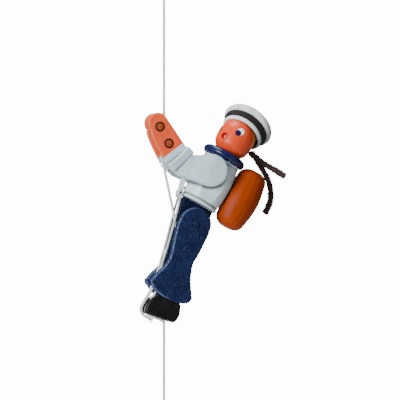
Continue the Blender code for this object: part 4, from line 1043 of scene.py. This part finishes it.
def makeShoes(s, d):
    black = paintFinish("shoeBlack", "shoe_black", ink(22, 19, 22), at["hip"], ink(13, 11, 13), 0.36, 0.06,
                        0.6, ink(32, 28, 31), None, ink(46, 42, 44), 0.2)
    toe, heel, sole, top = -s["toe"], s["heel"], -s["sole"], -s["tongueTop"]
    low = softened([(toe + 7.0, sole + 19.5), (toe + 0.6, sole + 12.0), (toe - 0.4, sole + 4.0),
                    (toe + 1.0, sole), (heel - 1.5, sole - 0.3), (heel + 0.6, sole + 8.0),
                    (heel - 1.6, sole + 15.9)], [0.0, 13.0, 8.5, 1.6, 3.8, 10.0, 0.0], 8)
    tongue = softened([(-9.5, sole + 13.0), (10.4, sole + 13.0), (8.5, top), (-5.5, top)], 0.8, 3)
    for side, name in bothSides:
        piece = board(name + "Shoe", filled(low, 1.6), side * s["slot"], side * s["outer"], s["rounding"],
                      at["hip"], black)
        # the trouser leg is cut out of the shoe, with a small gap under the hem
        hem = board("hem", filled(legOutline(d), 2.0), side * 5.0, side * 16.0, 0.1, Matrix.Identity(4), None)
        for vert in hem.data.vertices:
            if vert.co.z < -d["hem"] * mm:
                vert.co.z -= s["hemGap"] * mm
        hem.data.transform(at["hip"])
        carve(piece, hem)
        stands(piece, "legs", name + "_shoe")
        flap = board(name + "ShoeTongue", filled(tongue, 2.0), side * s["slot"], side * s["tongueOuter"], 0.5,
                     at["hip"], black)
        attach(flap, "legs")


makePelvis(pelvis)
makeLegs(leg)
makeShoes(shoe, leg)
print("legs made")


# Head and cap
head = {
    "radius": 15.8, "centre": 20.0, "foot": -1.0,
    "jaw": [(0.30, -0.05), (0.41, -0.045), (0.50, 0.0), (0.575, 0.06), (0.645, 0.15), (0.705, 0.225),
            (0.76, 0.295), (0.81, 0.335), (0.86, 0.38), (0.90, 0.42), (0.93, 0.465), (0.955, 0.54),
            (0.975, 0.64), (0.99, 0.74), (1.0, 0.85), (1.0, 0.93)],
    "mouthBelow": 6.6, "mouthAside": -3.0, "mouthRadius": 2.2, "mouthSunk": 0.4, "lips": 3.1,
    "eyeWhite": 3.05, "eyes": [(42.0, 9.0), (-43.5, 12.4)],
    "pupil": 2.6, "pupils": [(34.0, -6.0), (-38.6, 4.0)],
}


def onHead(h, aside, above):  # a point of the head's skin, in degrees aside and above the middle of the face
    a, b = radians(aside), radians(above)
    return at["skull"] @ (Vector((-cos(a) * cos(b), sin(a) * cos(b), sin(b))) * h["radius"] * mm)


def mouthAt(h, depth):  # the mouth's place, so many millimetres below the skin
    return at["skull"] @ spin(-h["mouthAside"], "Z") @ shift(depth - h["radius"], 0.0, -h["mouthBelow"])


def faceGloss(h):
    paint = Finish("faceGloss", "face_gloss")
    grain = paint.noise(paint.local(at["head"], (1.0, 1.0, 0.12)), 0.5, 4.0, 0.6, 0.4)
    skin = paint.mix(grain.ramp(0.25, 0.75), ink(206, 62, 26), ink(220, 76, 34))
    here = paint.local(at["skull"])
    x, _, z = paint.parts(here)
    # painted shade: the skin darker towards the back of the head, away from the light
    skin = paint.mix(x.ramp(-12.0, 3.0) * 0.5, skin, ink(176, 72, 48))
    hair = (x + z * 0.6 + (paint.noise(here, 0.5, 2.0) - 0.5)).ramp(4.9, 5.4)
    skin = paint.mix(hair, skin, paint.mix(grain.ramp(0.3, 0.7), ink(208, 118, 20), ink(226, 138, 30)))
    skin = paint.spot(skin, mouthAt(h, 0.0).translation, h["lips"] - 0.2, h["lips"] + 0.2, ink(158, 14, 18))
    # a pale pink spot in the dimple: painted highlight
    floor = mouthAt(h, h["mouthRadius"] + h["mouthSunk"]).translation
    skin = paint.spot(skin, floor, 0.7, 1.5, ink(238, 146, 132))
    white, dark = h["eyeWhite"], h["pupil"]
    for eye, pupil in zip(h["eyes"], h["pupils"]):
        skin = paint.spot(skin, onHead(h, *eye), white - 0.2, white + 0.15, ink(236, 238, 240))
        skin = paint.spot(skin, onHead(h, *pupil), dark - 0.15, dark + 0.15, ink(22, 20, 62))
    return paint.lay(skin, grain * 0.08 + 0.3, grain, 0.02, 0.03, 0.12, specular=0.18)


def makeHead(h):
    radius, centre, steps, dip = h["radius"], h["centre"], 40, h["mouthRadius"]
    profile = [(0.0, h["foot"])] + [(out * radius, up * centre) for out, up in h["jaw"]]
    angles = [pi / 2 * k / steps for k in range(steps)]
    profile += [(radius * cos(a), centre + radius * sin(a)) for a in angles]
    piece = turned("head", profile + [(0.0, centre + radius)], at["head"], faceGloss(h), 128, 60.0)
    bowl = [(0.0, -dip)] + [(dip * sin(radians(a)), -dip * cos(radians(a))) for a in range(10, 91, 10)]
    place = mouthAt(h, h["mouthSunk"]) @ spin(-90.0, "Y")
    carve(piece, turned("dimple", bowl + [(dip, 3.0), (0.0, 3.0)], place, None, 48))
    stands(piece, "head", "head")


cap = {
    "inner": 16.3, "lip": 17.2, "flare": 1.3, "lipHeight": 2.9, "gap": 0.3,
    "band": 1.6, "bandHeight": 5.2, "bandFlare": 1.2, "crown": 22.3, "rise": 8.7,
}


def makeCap(c):
    seat, top, height = c["lip"] - 0.2, c["lip"] + c["flare"], c["lipHeight"]
    low = height + c["gap"]
    high = low + c["bandHeight"]
    foot = high + c["gap"]
    inner, outer = seat + c["gap"], seat + c["gap"] + c["band"]
    waist, rise, wide = outer + c["bandFlare"], c["rise"], c["crown"]
    lip = [(c["inner"], 0.25), (c["inner"] + 0.25, 0.0), (c["lip"] - 0.25, 0.0), (c["lip"], 0.25),
           (c["lip"] + 0.45 * c["flare"], 0.9), (c["lip"] + 0.85 * c["flare"], 1.6), (top, 2.1),
           (top - 0.15, height - 0.12), (top - 0.5, height), (seat, height), (seat, high), (c["inner"], high),
           (c["inner"], 0.25)]
    band = [(inner, low), (outer - 0.4, low), (outer, low + 0.35),
            (outer + 0.62 * c["bandFlare"], (low + high) / 2), (waist, high - 0.4), (waist - 0.3, high),
            (inner, high), (inner, low)]
    side = curvePoints([
        (waist - 0.2, foot + 0.15), (wide - 0.5, foot + 0.2 * rise), (wide, foot + 0.42 * rise),
        (wide - 0.55, foot + 0.64 * rise), (wide - 2.2, foot + 0.83 * rise), (wide - 5.0, foot + 0.95 * rise),
        (wide - 10.0, foot + rise), (3.0, foot + rise + 0.45)], 6)
    crown = [(0.0, foot), (waist - 1.0, foot)] + [tuple(p) for p in side] + [(0.0, foot + rise + 0.5)]
    for name, profile, finish, sharp in (("Lip", lip, capPaint, 40.0), ("Band", band, feltFinish, 40.0),
                                         ("Crown", crown, capPaint, 50.0)):
        stands(turned("cap" + name, profile, at["cap"], finish, 144, sharp), "head", "cap_" + name.lower())


ribbon = {
    "radius": 2.2,
    "left": [(78.5, 9.2, -146.6), (80.6, 9.7, -148.6), (83.9, 10.5, -151.2), (87.2, 10.9, -154.0),
             (90.5, 11.0, -156.3), (95.0, 11.0, -158.9), (100.4, 11.0, -161.8), (108.4, 11.0, -166.6)],
    "right": [(78.5, 13.7, -146.6), (80.6, 14.2, -148.6), (83.9, 15.0, -151.8), (86.6, 15.4, -156.0),
              (89.9, 15.6, -160.6), (93.5, 15.6, -166.8), (96.0, 15.6, -172.8), (97.3, 15.6, -180.0),
              (96.9, 15.6, -187.5), (94.1, 15.6, -194.6), (92.0, 15.6, -198.0)],
    "fibres": 260.0, "fibreLength": 0.9, "fibreRadius": 0.06, "seeds": {"left": 5, "right": 11},
}


def fluffTree(r):  # fibres that stand out of a piece's skin at random leans
    tree = bpy.data.node_groups.new("ribbonFluff", "GeometryNodeTree")
    face = tree.interface
    face.new_socket("Ribbon", in_out="INPUT", socket_type="NodeSocketGeometry")
    for name, value in (("Fibres per cm2", r["fibres"]), ("Fibre length", r["fibreLength"] * mm),
                        ("Fibre radius", r["fibreRadius"] * mm)):
        face.new_socket(name, in_out="INPUT", socket_type="NodeSocketFloat").default_value = value
    face.new_socket("Seed", in_out="INPUT", socket_type="NodeSocketInt").default_value = r["seeds"]["left"]
    face.new_socket("Fluff", in_out="OUTPUT", socket_type="NodeSocketGeometry")
    given = addNode(tree, "NodeGroupInput").outputs
    density = addNode(tree, "ShaderNodeMath", {"operation": "MULTIPLY"}, _0=given["Fibres per cm2"],
                      _1=10000.0)
    scatter = addNode(tree, "GeometryNodeDistributePointsOnFaces", Mesh=given["Ribbon"],
                      Density=density.outputs[0], Seed=given["Seed"])
    line = addNode(tree, "GeometryNodeCurvePrimitiveLine", {"mode": "DIRECTION"}, Direction=(0.0, 0.0, 1.0),
                   Length=given["Fibre length"])
    profile = addNode(tree, "GeometryNodeCurvePrimitiveCircle", Resolution=3, Radius=given["Fibre radius"])
    fibre = addNode(tree, "GeometryNodeCurveToMesh", Fill_Caps=True, Curve=line.outputs[0],
                    Profile_Curve=profile.outputs[0])
    lean = addNode(tree, "FunctionNodeRandomValue", {"data_type": "FLOAT_VECTOR"}, _0=(-0.9, -0.9, -3.1),
                   _1=(0.9, 0.9, 3.1))
    turn = addNode(tree, "FunctionNodeRotateRotation", {"rotation_space": "LOCAL"},
                   _0=scatter.outputs["Rotation"], _1=lean.outputs[0])
    size = addNode(tree, "FunctionNodeRandomValue", _2=0.45, _3=1.3)
    place = addNode(tree, "GeometryNodeInstanceOnPoints", Points=scatter.outputs["Points"],
                    Instance=fibre.outputs[0], Rotation=turn.outputs[0], Scale=size.outputs[1])
    real = addNode(tree, "GeometryNodeRealizeInstances", _0=place.outputs[0])
    both = addNode(tree, "GeometryNodeJoinGeometry", _0=real.outputs[0])
    feed(tree, both.inputs[0], given["Ribbon"])
    dye = addNode(tree, "GeometryNodeSetMaterial", Geometry=both.outputs[0], Material=ribbonFelt.material)
    addNode(tree, "NodeGroupOutput", _0=dye.outputs[0])
    return tree


def makeRibbons(r):
    fluff = fluffTree(r)
    seed = next(s.identifier for s in fluff.interface.items_tree if s.name == "Seed")
    uneven = lambda t: 0.94 + 0.28 * t + 0.07 * sin(46.0 * t) + 0.05 * sin(111.0 * t)
    for name in ("left", "right"):
        path = evenly(curvePoints([Vector(p) * mm for p in r[name]], 10), 0.8 * mm)
        piece = tube(name + "Ribbon", path, r["radius"] * mm, ribbonFelt, 14, uneven)
        grow = piece.modifiers.new("fluff", "NODES")
        grow.node_group = fluff
        grow[seed] = r["seeds"][name]
        settle(piece)
        stands(piece, "head", name + "_ribbon")


makeHead(head)
makeCap(cap)
makeRibbons(ribbon)
print("head and cap made")


# The part's own small pieces keep their shape
def dress(finish, *names):
    for name in names:
        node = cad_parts[name]
        if not node.material_slots:
            node.data.materials.append(finish.material)
        for slot in node.material_slots:
            slot.material = finish.material


dress(bareWood("dowelWood", at["body"]), "shoulder_dowel", "neck_dowel", "lower_pack_dowel",
      "upper_pack_dowel")
dress(paintFinish("pegWhite", "white_paint", ink(186, 208, 217), at["body"]), "block_peg")
for node in ("guide_dowel", "waist_dowel"):
    dress(navyPaint(node + "Navy", at["hip"], 0.3), node)
dress(steelFinish, "toe_staple")
dress(blackFinish, "elastic_nail")
print("small pieces finished")
